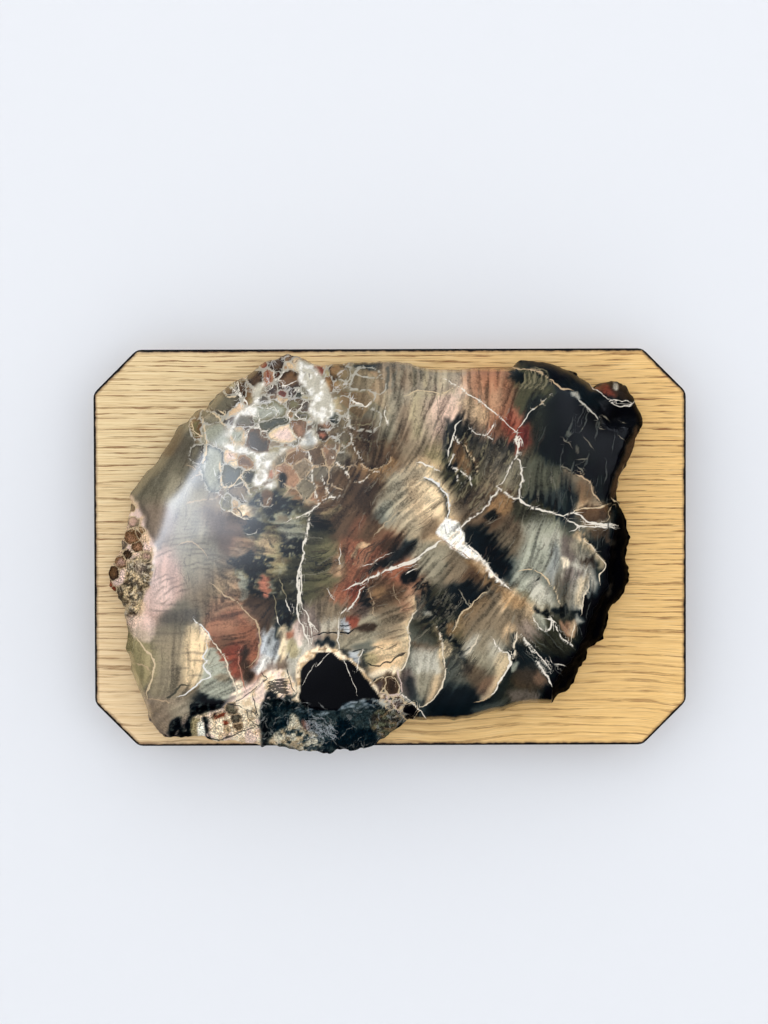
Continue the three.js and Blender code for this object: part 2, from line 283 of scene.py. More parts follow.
def strip_material():
    material, n, shader = new_material("planed softwood", 0.62)
    at = n.place_in_mm()
    x, depth, z = n.add("ShaderNodeSeparateXYZ", at).outputs
    wander = n.noise(n.scaled(at, (0.02, 0.05, 0.05)), 1.0, 2.0)
    across = n.plus(n.plus(z, n.times(depth, RING_LEAN)), n.times(wander, RING_WANDER))
    phase = n.math("DIVIDE", across, STRIP_RING_SPACING)
    grain = n.add("ShaderNodeGroup", n.place(x, across, depth), phase, node_tree=wood_grain)
    _, late, fibres = grain.outputs
    colour = n.mix(n.times(late, 0.7), STRIP_PALE, STRIP_DARK)
    colour = n.mix(n.ramp(fibres, 0.35, 0.75, 0.0, 0.3), colour, STRIP_DARK)
    n.give(shader.inputs["Base Color"], colour)
    n.dents(shader, fibres, 0.4, 0.0002)
    return material


strip_finish = strip_material()
for strip in ("hanging_cleat", "lower_batten"):
    dress(strip, strip_finish)


# Petrified wood
# One slab sawn across a fossil trunk, 31 mm thick, with a flat back. Its face is a low dome, polished to a
# gloss. Its bark, the broken foot of its knot and its pale rubble are left raw. Sizes here are in mm.

STONE_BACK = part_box("petrified_wood")[1][1] * 1000
STONE_CENTRE_Z = BOARD_MIDDLE.z * 1000
READ_MM = 0.49  # one pixel of the photograph, in the units that the places below are read in
READ_ORIGIN = (391.0, 547.5)  # the pixel where they start
CROWN_THICKNESS = 31
CROWN_FALL = 4  # from the middle of the dome to the ends of its radii
CROWN_CENTRE = (-5, 0)
CROWN_RADII = (130, 98)
ROLL_POWER = 5  # the higher, the flatter the dome and the tighter its rolled rim
READING_POWER = 3  # the higher, the more the nearest reading counts
THINNEST = 6
MESH_STEP = 0.74
# noises that are added up: the height of each, the size of its blobs, and its seed
RIM_JAGS = ((1.3, 1.7, 31), (0.91, 4.0, 32))
LEDGE_JAGS = ((1.6, 3.5, 11), (1.2, 1.4, 12))
FACE_SWELL = ((0.25, 28, 13), (0.08, 9, 14))
RAW_LUMPS = 1.5  # height of the lumps on raw stone
SIDE_ROWS = ((0.25, 0.93), (0.5, 0.86), (0.9, 0.76), (1.4, 0.65), (2.1, 0.53), (3.1, 0.41), (4.3, 0.29),
             (5.8, 0.18), (7.3, 0.08), (9, 0.0))  # how far in from the outline, share of the edge's thickness

# Outline as the photograph shows it, clockwise from the left: x and z by turns, as in all runs below
OUTLINE = (
    -128.3, 25, -125, 30, -121.8, 34.5, -119.8, 37.2, -117, 39.2, -114.5, 42, -112.3, 46, -109.5, 50,
    -107, 54, -105, 58.2, -103.5, 60, -100, 61.5, -98.5, 63.5, -96, 66.3, -93.5, 67.8, -91, 67.3, -89, 70.5,
    -86.5, 73, -84.8, 75.2, -80.8, 78.3, -77.5, 81, -73, 83, -69.5, 85, -67, 87, -64, 89.6, -61.5, 91,
    -58, 92, -55.5, 92.5, -53, 94, -50.5, 94.8, -48.5, 94, -46, 93.8, -43, 92.5, -40, 91, -37.5, 89.8,
    -33, 89.3, -28, 89.8, -24, 90, -20, 90.5, -14, 90.7, -9, 90.6, -5, 91.2, 0, 91.2, 5, 90.7, 9, 90.2,
    12, 89, 16, 88, 20, 87.3, 27, 87, 35, 87.2, 40, 87.8, 47, 87.6, 54, 87.6, 58, 87.6, 59.5, 88.3, 61, 90,
    62.5, 91.2, 64.5, 91.8, 70, 91.2, 76, 90.7, 80, 89.8, 84, 88, 88, 86.5, 91, 85.2, 92.5, 83.3, 95, 82.2,
    97.5, 80.3, 99, 78, 100.5, 79, 102, 80.5, 106, 81, 108, 81.5, 110, 81.3, 113, 80, 115.5, 79.5, 117, 76,
    119, 74, 120, 71, 121.5, 68, 123, 65.5, 123.7, 63, 123.5, 60.5, 122.5, 57.5, 121, 54.5, 120, 51,
    118.8, 47.5, 117, 43.5, 116, 40.5, 113.8, 37, 112.3, 33.5, 111.5, 29, 110.8, 25.5, 110, 24, 111, 22.5,
    112.5, 20, 114.5, 17, 115.5, 13, 116, 9, 117.2, 6, 117.4, 4, 116.3, 0.5, 115.2, -3, 115.8, -6,
    116.8, -9, 117.2, -13, 116.5, -17, 115.3, -20, 115, -22, 113, -24, 112, -26.5, 109, -28.5, 107.5, -31,
    106.5, -34, 106, -38, 105, -42, 104.5, -45, 102, -46.5, 99.5, -48.5, 97, -50, 96.3, -53, 95.5, -56,
    93.5, -58.5, 92, -62, 90.5, -65, 88.5, -68, 86.5, -71, 83, -72, 81, -74, 79.5, -75.5, 78.5, -76.3,
    70, -75.8, 63, -76.5, 58, -78, 55, -79.3, 51, -79.5, 47, -80.5, 42, -82, 38, -83.2, 34, -83.5,
    31, -84.3, 27, -83.7, 22, -83.8, 17, -84, 12, -84, 9, -84.3, 7, -86, 4, -88.5, 0, -91, -2, -93,
    -5.5, -95, -8, -97, -11, -98.5, -15, -99.3, -20, -100, -26, -99.5, -28.5, -101, -31, -101.7, -36, -101,
    -40, -100.8, -44, -100.5, -47, -99.5, -51, -98.7, -55, -97.8, -58, -96.8, -62, -97.3, -66, -97,
    -73, -96, -78, -95, -84, -95.5, -89.5, -94.5, -92, -93, -97.5, -93, -103, -93.7, -108.5, -93,
    -112.5, -90.5, -116, -87, -118.5, -83.5, -119.5, -79.5, -121, -75.5, -122.5, -72, -124, -69, -125, -66,
    -126.5, -62.5, -127.6, -59.5, -127.4, -57, -128, -54, -129.3, -51, -130.3, -48, -129.3, -42,
    -129.7, -39, -130.5, -35, -130.8, -31, -131.5, -29.5, -132.5, -27, -134.3, -25.3, -134.3, -23.5,
    -136, -22, -137.5, -20, -138.5, -18.5, -138.3, -15.5, -138.8, -13, -138, -10.5, -137, -9, -135.8, -6.5,
    -134.5, -4.5, -133, -2, -132.3, 0.5, -132.5, 3, -131.5, 4.5, -131, 6.5, -130.5, 8.5, -129.3, 11.5,
    -128.7, 15, -128, 17.5, -127.5, 20.5, -127, 22.5,
)

# Readings of the rim: a place, how far in it starts to roll over, its thickness, and how raw it is
RIM = (
    (-130, 22, 34, 9, 0), (-140, -18, 18, 8, 0.8), (-128, -65, 20, 9, 0.1), (-102, -95, 12, 8, 0.7),
    (-30, -103, 10, 7, 1), (20, -85, 14, 12, 0.1), (62, -78, 14, 12, 0.1), (96, -57, 10, 9, 1),
    (118, -10, 10, 9, 1), (115, 35, 10, 9, 0.7), (120, 74, 12, 10, 0.6), (80, 91, 15, 10, 0.2),
    (35, 89, 16, 11, 0), (-30, 92, 15, 10, 0.1), (-80, 80, 22, 9, 0.1), (-114, 46, 32, 9, 0),
)

# Raw ledges: how far each steps down, over what run, and its area
LEDGES = (
    (8, 5, (-62, -72, -52, -73, -45, -72, -40, -77, -27, -79, -12, -75, -4, -76, 4, -79,
            12, -82, 14, -110, -66, -110)),  # the lump under the black knot
    (5, 6, (-112, -92, -104, -82, -96, -76, -84, -75, -72, -78, -64, -76, -62, -110,
            -115, -110)),  # pale rubble to its left
    (6, 9, (-124, 14, -117, 4, -117, -12, -121, -26, -125, -40, -127, -52, -150, -52,
            -150, 14)),  # pink rubble on the left
    (8, 6, (102, 24, 109, 9, 106, -6, 106, -18, 99, -29, 95, -42, 88, -54, 78, -68, 80, -90,
            130, -60, 135, 24)),  # bark down the right side
    (8, 5, (106, 24, 108, 33, 111, 41, 113.5, 48, 117, 56, 121, 62, 135, 62, 135, 24)),  # brown break
    (3, 7, (57, 96, 60, 89, 72, 86.5, 83, 80, 92, 74, 100, 66, 108, 58, 135, 60, 135, 100)),
)
KNOB = (110, 74, 8, 5)  # x, z, radius and lift

# The stone's colours, as they look on a screen
STONE_COLOURS = {
    "black": (7, 17, 23), "ink": (11, 23, 29), "night": (22, 32, 37), "slate": (84, 87, 80),
    "steel": (132, 134, 130), "fog": (168, 172, 174), "olive_dark": (50, 50, 40),
    "olive": (80, 78, 58), "moss": (112, 106, 78), "straw": (150, 138, 104), "smoke_dark": (78, 72, 64),
    "smoke": (108, 102, 86), "haze": (140, 132, 112), "sage": (150, 150, 134), "pearl": (182, 176, 160),
    "taupe": (122, 108, 88), "umber": (86, 68, 52), "bark": (58, 46, 37), "brown": (108, 83, 60),
    "ochre": (148, 116, 80), "clay": (148, 114, 90), "rust": (138, 90, 68), "brick": (124, 66, 51),
    "wine": (92, 42, 40), "coral": (176, 114, 90), "pink": (182, 150, 134), "blush": (216, 190, 176),
    "mauve": (130, 116, 106), "plum": (86, 74, 70), "tan": (192, 164, 128), "sand": (212, 188, 150),
    "cream": (228, 212, 184), "ivory": (238, 228, 210), "white": (232, 228, 220), "teal": (52, 84, 96),
}
FAR = 9.0  # from any line
THIN = 1.35  # a stroke no wider than this is drawn as a sharp line
LINE_WIDTH = 0.62  # share of a thin stroke's stated width that it gets
EDGE_SHARPNESS = 0.8  # share of the stated feather that a patch's edge gets
# how a shape's edge strays, for a crisp one and for a torn one
CRISP_X = ((0.8, 5.0, 1), (0.6, 1.9, 2))
CRISP_Z = ((0.8, 5.0, 3), (0.6, 1.9, 4))
TORN_X = ((1.4, 5.0, 1), (1.0, 1.9, 2))
TORN_Z = ((1.4, 5.0, 3), (1.0, 1.9, 4))
# how a sharp line strays
LINE_X = ((1.2, 3.0, 7), (0.7, 1.3, 8))
LINE_Z = ((1.2, 3.0, 17), (0.7, 1.3, 18))
TEAR_FINE = 2.0  # how far a torn edge is pulled along the grain
TEAR_BROAD = 1.3
CELL_GROWTH = 1.62  # cells swell until they meet, so their discs are placed small
FIELD_WIDE = (-146, 132)  # where the streaks are worked out
FIELD_HIGH = (-110, 104)
FIELD_STEP = 0.7
FINE_STREAKS = (0.9, 15, 0.8, 5)  # size of the noise, length it is smeared over, step, and seed
BROAD_STREAKS = (2.6, 30, 1.2, 6)
STREAK_SPREAD = 3.4  # how many times the noise's spread lies between dark and light
CALM = (  # where the grain fades: how much, and the area
    (1, (-100, 62, -82, 80, -60, 96, -20, 95, -12, 78, -18, 62, -24, 44, -40, 40, -52, 28,
         -70, 18, -86, 24, -92, 44)),
    (1, (-112, -78, -84, -76, -58, -64, -50, -58, -38, -50, -12, -56, 10, -66, 16, -84, 0, -104,
         -60, -104, -112, -96)),
    (1, (10, 6, 14, 14, 22, 16, 32, 4, 46, -10, 42, -16, 28, -6, 16, 0)),
    (0.85, (-150, 60, -90, 60, -84, 24, -78, 4, -92, -30, -106, -50, -110, -100, -150, -90)),
    (0.5, (6, -22, 24, -30, 44, -34, 62, -38, 70, -60, 78, -84, 4, -86, 2, -60)),
    (0.6, (78, 78, 66, 60, 78, 48, 86, 26, 106, 8, 100, -30, 80, -80, 150, -60, 150, 90)),
)


def hash_noise(i, j, seed):
    wave = np.sin(i * 127.1 + j * 311.7 + seed * 74.7) * 43758.5453
    return wave - np.floor(wave)


def noise(x, z, size, seed=0):
    """Smooth noise, 0 to 1, with blobs of about that size."""
    u, v = x / size, z / size
    i, j = np.floor(u), np.floor(v)
    fu, fv = u - i, v - j
    fu, fv = fu * fu * (3 - 2 * fu), fv * fv * (3 - 2 * fv)
    low = hash_noise(i, j, seed) * (1 - fu) + hash_noise(i + 1, j, seed) * fu
    high = hash_noise(i, j + 1, seed) * (1 - fu) + hash_noise(i + 1, j + 1, seed) * fu
    return low * (1 - fv) + high * fv


def wander(x, z, noises):
    """Noises added up, either side of nought."""
    return sum(height * (noise(x, z, size, seed) - 0.5) for height, size, seed in noises)


def step(low, high, value):
    t = np.clip((value - low) / (high - low), 0, 1)
    return t * t * (3 - 2 * t)


def pairs(numbers):
    """Places from a run of numbers, x and z by turns."""
    return np.array(numbers, float).reshape(-1, 2)


def line_fields(x, z, points):
    """Distance to a line of points, signed distance (positive on its left), and share along it, 0 to 1."""
    best = np.full(x.shape, 1e9)
    side = np.zeros(x.shape)
    share = np.zeros(x.shape)
    p = pairs(points)
    lengths = np.hypot(*(p[1:] - p[:-1]).T)
    total, gone = lengths.sum(), 0.0
    for a, b, length in zip(p[:-1], p[1:], lengths):
        if length == 0:
            continue
        dx, dz = (b - a) / length
        along = np.clip((x - a[0]) * dx + (z - a[1]) * dz, 0, length)
        ex, ez = x - a[0] - along * dx, z - a[1] - along * dz
        d = np.hypot(ex, ez)
        nearer = d < best
        best = np.where(nearer, d, best)
        side = np.where(nearer, np.where(dx * ez - dz * ex >= 0, d, -d), side)
        share = np.where(nearer, (gone + along) / total, share)
        gone += length
    return best, side, share


def inside(x, z, points):
    p = pairs(points)
    result = np.zeros(x.shape, bool)
    for (ax, az), (bx, bz) in zip(p, np.roll(p, 1, axis=0)):
        if az != bz:
            crosses = (az > z) != (bz > z)
            result ^= crosses & (x < (bx - ax) * (z - az) / (bz - az) + ax)
    return result


def distance_to(x, z, ring):
    ring = pairs(ring)
    return line_fields(x, z, np.vstack([ring, ring[:1]]))[0]


def smooth_line(points, closed=False, per_span=4):
    """The same line with rounded corners."""
    p = pairs(points)
    count = len(p)
    if count < 3:
        return p
    out = []
    for k in range(count if closed else count - 1):
        if closed:
            a, b, c, d = p[k - 1], p[k], p[(k + 1) % count], p[(k + 2) % count]
        else:
            a, b, c, d = p[max(k - 1, 0)], p[k], p[k + 1], p[min(k + 2, count - 1)]
        for s in range(per_span):
            t = s / per_span
            out.append(0.5 * (2 * b + (c - a) * t + (2 * a - 5 * b + 4 * c - d) * t ** 2
                              + (3 * b - a - 3 * c + d) * t ** 3))
    if not closed:
        out.append(p[-1])
    return np.array(out)


def flow(x, z):
    """The direction of the wood's streaks, as its x and z."""
    across, along = np.zeros(x.shape), np.zeros(x.shape)
    for px, pz, angle in np.reshape(FLOW, (-1, 3)):
        weight = 1 / ((x - px) ** 2 + (z - pz) ** 2 + 16) ** 2
        across += weight * np.cos(np.radians(2 * angle))
        along += weight * np.sin(np.radians(2 * angle))
    half = np.arctan2(along, across) / 2
    return np.cos(half), np.sin(half)


def streaks(x, z, size, length, spacing, seed):
    """Noise smeared along the flow of the wood, 0 to 1, at places on the face."""
    field_x, field_z = np.meshgrid(np.arange(*FIELD_WIDE, FIELD_STEP), np.arange(*FIELD_HIGH, FIELD_STEP))
    rows, columns = field_x.shape
    u, v = flow(field_x, field_z)
    total = np.zeros(field_x.shape)
    for sign in (1, -1):
        px, pz, pu, pv = field_x, field_z, u * sign, v * sign
        for _ in range(int(length / spacing / 2)):
            total += noise(px, pz, size, seed)
            px, pz = px + pu * spacing, pz + pv * spacing
            i = np.clip(((pz - FIELD_HIGH[0]) / FIELD_STEP).round().astype(int), 0, rows - 1)
            j = np.clip(((px - FIELD_WIDE[0]) / FIELD_STEP).round().astype(int), 0, columns - 1)
            flip = np.where(u[i, j] * pu + v[i, j] * pv >= 0, 1, -1)
            pu, pv = u[i, j] * flip, v[i, j] * flip
    values = np.clip(0.5 + (total - total.mean()) / (total.std() * STREAK_SPREAD), 0, 1)
    across = np.clip((x - FIELD_WIDE[0]) / FIELD_STEP, 0, columns - 1.001)
    up = np.clip((z - FIELD_HIGH[0]) / FIELD_STEP, 0, rows - 1.001)
    i, j = up.astype(int), across.astype(int)
    low = values[i, j] * (1 - across + j) + values[i, j + 1] * (across - j)
    high = values[i + 1, j] * (1 - across + j) + values[i + 1, j + 1] * (across - j)
    return low * (1 - up + i) + high * (up - i)


class Canvas:
    """Colours at places on the slab's face, painted in order. Places are where the photograph shows them."""

    def __init__(self, x, z):
        self.x, self.z = x, z
        self.rgb = np.zeros(x.shape + (3,))
        self.fine, self.broad = (streaks(x, z, *kind) for kind in (FINE_STREAKS, BROAD_STREAKS))
        # nearest sharp line: signed distance, distance, half its width, and its colour and strength
        self.side = np.full(x.shape, FAR)
        self.away = np.full(x.shape, FAR)
        self.half = np.zeros(x.shape)
        self.ink = np.ones(x.shape + (4,))
        self.calm = np.zeros(x.shape)
        for amount, area in CALM:
            d = distance_to(x, z, area)
            self.calm = np.maximum(self.calm, amount * step(-4, 6, np.where(inside(x, z, area), d, -d)))
        # places as crisp edges are drawn, and as torn ones are: colours run along the wood's grain
        u, v = flow(x, z)
        torn = (1 - self.calm) * (TEAR_FINE * (2 * self.fine - 1) + TEAR_BROAD * (2 * self.broad - 1))
        self.crisp_x = x + wander(x, z, CRISP_X)
        self.crisp_z = z + wander(x, z, CRISP_Z)
        self.torn_x = x + wander(x, z, TORN_X) + u * torn
        self.torn_z = z + wander(x, z, TORN_Z) + v * torn

    def colour(self, name):
        return np.array(STONE_COLOURS[name], float) / 255

    def lay(self, where, name, mask):
        self.rgb[where] += (self.colour(name) - self.rgb[where]) * mask[:, None]

    def near(self, points, reach):
        p = pairs(points)
        low, high = p.min(0) - reach, p.max(0) + reach
        return np.nonzero((self.x > low[0]) & (self.x < high[0]) & (self.z > low[1]) & (self.z < high[1]))

    def washes(self, table, power=3.0):
        """A smooth ground: each place takes the colours of the nearest dabs."""
        total = np.zeros(self.x.shape)
        ground = np.zeros(self.rgb.shape)
        for name, places in table.items():
            for px, pz in pairs(places):
                weight = 1 / ((self.torn_x - px) ** 2 + (self.torn_z - pz) ** 2 + 9.0) ** power
                total += weight
                ground += weight[..., None] * self.colour(name)
        self.rgb = ground / total[..., None]

    def area(self, points, feather):
        """Which places a closed shape covers, and how fully."""
        line = smooth_line(points, closed=True)
        where = self.near(line, feather + 6)
        loose = min(feather / 1.5, 1)
        x = self.crisp_x[where] + loose * (self.torn_x - self.crisp_x)[where]
        z = self.crisp_z[where] + loose * (self.torn_z - self.crisp_z)[where]
        d = distance_to(x, z, line)
        return where, step(-feather, feather, np.where(inside(x, z, line), d, -d))

    def patch(self, name, feather, opacity, *points):
        """A filled shape with a ragged edge."""
        where, cover = self.area(points, feather * EDGE_SHARPNESS)
        self.lay(where, name, cover * opacity)

    def wipe(self, points):
        """Take the sharp lines away from an area painted over them."""
        where, cover = self.area(points, 0.6)
        where = tuple(index[cover > 0.5] for index in where)
        self.side[where] = self.away[where] = FAR

    def mottle(self, name, pattern, low, high, points, opacity=1.0, feather=3.0, seed=0):
        """A colour where a pattern runs from low to high. The pattern is fine, broad or blobs of a size."""
        where, cover = self.area(points, feather)
        if pattern == "fine":
            value = self.fine[where]
        elif pattern == "broad":
            value = self.broad[where]
        else:
            value = 0.65 * noise(self.torn_x[where], self.torn_z[where], pattern, 30 + seed)
            value += 0.35 * noise(self.torn_x[where], self.torn_z[where], pattern * 0.45, 40 + seed)
        self.lay(where, name, step(low, high, value) * cover * opacity)

    def rings(self, name, centre, spacing, points, opacity=1.0, feather=3.0, seed=0):
        """Fine broken lines a set spacing apart, round a centre: the wood's growth rings."""
        where, cover = self.area(points, feather)
        x, z = self.crisp_x[where], self.crisp_z[where]
        turn = (np.hypot(x - centre[0], z - centre[1]) + 1.6 * noise(x, z, 9, 80 + seed)) / spacing
        line = np.abs(turn - np.floor(turn) - 0.5) * 2
        broken = step(0.30, 0.62, noise(x * 0.35, z, 3.0, 81 + seed))
        self.lay(where, name, (1 - step(0.0, 0.55, line)) * broken * cover * opacity)

    def flecks(self, name, count, length, width, points, opacity=1.0, angle=None, seed=0):
        """Short strokes over an area, at an angle, at any, or along the grain. Thin ones are sharp lines."""
        random = np.random.default_rng(seed)
        p = pairs(points)
        spots = random.uniform(p.min(0), p.max(0), (count * 3, 2))
        spots = spots[inside(spots[:, 0], spots[:, 1], points)][:count]
        for cx, cz in spots:
            turn = np.radians(random.uniform(0, 180) if angle is None else random.uniform(-14, 14))
            if angle == "grain":
                u, v = flow(np.array([cx]), np.array([cz]))
                turn += np.arctan2(v[0], u[0])
            elif angle is not None:
                turn += np.radians(angle)
            reach = length * random.uniform(0.3, 0.7)
            if width < 0.7:
                dx, dz = reach * np.cos(turn), reach * np.sin(turn)
                ends = (cx - dx, cz - dz, cx + dx, cz + dz)
                self.line(name, width, ends, opacity * random.uniform(0.5, 1))
                continue
            where = self.near([(cx, cz)], length)
            x, z = self.crisp_x[where] - cx, self.crisp_z[where] - cz
            along = np.clip(x * np.cos(turn) + z * np.sin(turn), -reach, reach)
            d = np.hypot(x - along * np.cos(turn), z - along * np.sin(turn))
            half = width / 2 * (1.1 - np.abs(along) / reach)
            cover = 1 - step(half * 0.5, half + 0.5, d)
            self.lay(where, name, cover * opacity * random.uniform(0.5, 1))

    def crazing(self, where, size, seed):
        """Depth inside a random angular cell of about that size, and the numbers of it and of the next."""
        x, z = self.crisp_x[where] / size, self.crisp_z[where] / size
        first, second = np.full(x.shape, 9.0), np.full(x.shape, 9.0)
        owner, other = np.zeros(x.shape), np.zeros(x.shape)
        for di in (-1, 0, 1):
            for dj in (-1, 0, 1):
                i, j = np.floor(x) + di, np.floor(z) + dj
                d = np.hypot(x - i - hash_noise(i, j, 50 + seed), z - j - hash_noise(i, j, 60 + seed))
                number = hash_noise(i, j, 70 + seed)
                loser = np.where(d < first, owner, number)
                other = np.where(np.maximum(first, d) < second, loser, other)
                second = np.minimum(second, np.maximum(first, d))
                owner = np.where(d < first, number, owner)
                first = np.minimum(first, d)
        return (second - first) * size / 2, owner, other

    def rubble(self, filling, size, seam, names, points, opacity=1.0, feather=1.5, seed=0):
        """Small angular cells, each of one of the named colours, in a filling."""
        where, cover = self.area(points, feather)
        self.lay(where, filling, cover * opacity)
        depth, owner, other = self.crazing(where, size, seed)
        tones = np.array([self.colour(name) for name in names])
        tone = tones[(owner * len(names)).astype(int) % len(names)]
        self.rgb[where] += (tone - self.rgb[where]) * (cover * opacity)[:, None]
        self.seam(filling, seam, where, np.where(owner > other, depth, -depth), opacity * cover)

    def cells(self, filling, seam, table):
        """Angular cells from groups of given discs, each with colours for its edge and its heart."""
        groups = [np.reshape(group, (-1, 3)) for _, _, *group in table]
        where = self.near(np.vstack(groups)[:, :2], 6)
        x = self.crisp_x[where] + 0.9 * noise(self.x[where], self.z[where], 0.9, 92)
        z = self.crisp_z[where] + 0.9 * noise(self.x[where], self.z[where], 0.9, 93)
        best, second = np.full(x.shape, 9.0), np.full(x.shape, 9.0)
        owner, other = np.zeros(x.shape, int), np.zeros(x.shape, int)
        for k, group in enumerate(groups):
            nearest = np.full(x.shape, 9.0)
            for (ax, az, ar), (bx, bz, br) in zip(group, group[1:] if len(group) > 1 else group):
                span = (bx - ax) ** 2 + (bz - az) ** 2 + 1e-9
                t = np.clip(((x - ax) * (bx - ax) + (z - az) * (bz - az)) / span, 0, 1)
                dx, dz = x - ax - t * (bx - ax), z - az - t * (bz - az)
                turns = 2 * np.pi * hash_noise(ax, az, 8) + np.pi / 3 * np.arange(3)
                flats = np.max([np.abs(dx * np.cos(turn) + dz * np.sin(turn)) for turn in turns], axis=0)
                grown = CELL_GROWTH * (ar + t * (br - ar))
                nearest = np.minimum(nearest, 0.45 * np.hypot(dx, dz) + 0.58 * flats - grown)
            other = np.where(np.maximum(best, nearest) < second, np.where(nearest < best, owner, k), other)
            owner = np.where(nearest < best, k, owner)
            second = np.minimum(second, np.maximum(best, nearest))
            best = np.minimum(best, nearest)
        depth = np.minimum(-best, (second - best) / 2)
        edges, hearts = (np.array([self.colour(row[n]) for row in table]) for n in (0, 1))
        shade = step(0.2, 2.4, depth + 1.2 * noise(x, z, 2.0, 91) - 0.6)[:, None]
        tone = edges[owner] * (1 - shade) + hearts[owner] * shade
        self.rgb[where] += (tone - self.rgb[where]) * step(-0.3, 0.3, depth)[:, None]
        covered = tuple(index[depth > -0.2] for index in where)
        self.side[covered] = self.away[covered] = FAR
        between = (-best > depth) & (owner < other)
        self.seam(filling, seam, where, np.where(between, -depth, depth), 0.8)

    def seam(self, name, width, where, side, opacity):
        """A sharp line where a signed distance passes nought."""
        nearer = np.abs(side) < np.minimum(self.away[where], 1.5)
        x, z = self.x[where], self.z[where]
        half = width * (0.45 * noise(x, z, 3.0, 19) + 0.25 * noise(x, z, 1.1, 20))
        strength = np.broadcast_to(opacity, side.shape)[nearer]
        where = tuple(index[nearer] for index in where)
        self.side[where] = side[nearer]
        self.away[where] = np.abs(side[nearer])
        self.half[where] = half[nearer]
        self.ink[where] = np.column_stack([np.tile(self.colour(name), (len(strength), 1)), strength])

    def stroke(self, name, width, opacity, *points):
        """A brush line that tapers at both ends, sharp where it is thin."""
        if width <= THIN:
            self.line(name, width * LINE_WIDTH, points, opacity)
            return
        line = smooth_line(points)
        where = self.near(line, width * 2 + 2)
        d, _, share = line_fields(self.torn_x[where], self.torn_z[where], line)
        half = width * 0.5 * np.clip(np.minimum(share, 1 - share) * 6 + 0.35, 0, 1)
        self.lay(where, name, (1 - step(half * 0.6, half * 1.4 + 0.2, d)) * opacity)

    def line(self, name, width, points, opacity=1.0):
        """A sharp line, kept as distances to it so that it stays sharp between the mesh's points."""
        line = smooth_line(points)
        where = self.near(line, 4)
        x, z = self.x[where], self.z[where]
        d, side, share = line_fields(x + wander(x, z, LINE_X), z + wander(x, z, LINE_Z), line)
        taper = np.clip(np.minimum(share, 1 - share) * 7 + 0.3, 0, 1)
        uneven = 0.2 + 0.8 * noise(x, z, 4.0, 9) + 0.8 * noise(x, z, 1.3, 10)
        nearer = d < self.away[where]
        where = tuple(index[nearer] for index in where)
        self.side[where] = side[nearer]
        self.away[where] = d[nearer]
        self.half[where] = (width * 0.5 * taper * uneven)[nearer]
        self.ink[where] = np.append(self.colour(name), opacity)

    def edge(self, left, left_reach, right, right_reach, opacity, *points):
        """A line with a colour fading away on its left and another on its right. None leaves a side alone."""
        line = smooth_line(points)
        reach = max(left_reach, right_reach)
        where = self.near(line, reach * 1.4 + 2)
        d, side, share = line_fields(self.crisp_x[where], self.crisp_z[where], line)
        ends = step(0, 0.12, np.minimum(share, 1 - share) + 0.02)
        for name, far, here in ((left, left_reach, side >= 0), (right, right_reach, side < 0)):
            if name:
                fade = np.clip(1 - d / (far * (0.6 + 0.8 * self.fine[where])), 0, 1)
                self.lay(where, name, np.where(here, fade, 0) * opacity * ends)


# Marks on the face. Ground colours first: each dab tints what lies nearest to it
GROUND = {
    "smoke": (-100, 50, -118, 32, -96, 38, -92, -2, -103, -34, -110, -68, -2, 62, 52, 44, -12, 60, 60, 4,
        84, -22, 30, -60),
    # The first two haze dabs, at (-104, 26) and (-98, 8), lie where the window's glare falls on the left end.
    # They are partly the stone's colour and partly a painted reflection, a pale base under the glare.
    "haze": (-104, 26, -98, 8, -96, -12, 4, 30, 24, 80, 68, 8, 20, -6, -6, -40, 14, -46, 48, -46),
    "sage": (-88, 46, -86, -62, 72, -2, 66, -16, -52, 8, 16, -60),
    "pink": (-112, -20, -108, -12, -116, -30, 26, 66),
    "taupe": (-84, 14, -88, -18, -106, -46, -102, -64, 10, 50, -30, -34, 58, -36, 44, -34, 34, -10),
    "umber": (-78, 6, -10, 30, 2, 44, -66, -28, -34, 26, -14, 12, 48, 20, 40, -12, -2, -26, -30, 16),
    "tan": (12, 26, 20, 12, -94, -52, -60, 2, 14, 40, 62, -26, 94, 26, 0, -50),
    "rust": (48, 78, -80, -44, -70, -50, -18, -4, -22, -20, 2, -14, 56, 58),
    "clay": (40, 68, -78, -26, 8, -26, -48, 40),
    "olive": (-44, -18, -36, -4, -54, -24, 66, 76, -48, 14, 78, 36, 24, -40, 38, 40, 74, 14),
    "olive_dark": (24, -28, 80, 58, -36, 10, -64, 14, 72, 66, -58, 18, 84, -44, 66, -60),
    "night": (84, 50, 44, -2, 52, -8, 84, 22, 36, -22, 30, -74, 90, 70, -30, -80, -12, -84),
    "black": (104, 56, 110, -10, 100, -44, 96, 44, -28, -64, 110, 30, -90, -79, 84, -62, 78, 90, 98, -30,
        106, -28),
    "pearl": (-66, 58, -66, 78, -44, 84, -32, 70, -56, -48, -60, 44, -48, -46, 92, -18),
    "blush": (-76, -86, -128, 4, -56, 60, -66, -80),
    "moss": (-120, -56, -88, 70, -28, -12, -126, -48),
    "mauve": (-114, 12, -112, -82, -40, -38, 30, 76, -106, -84),
}
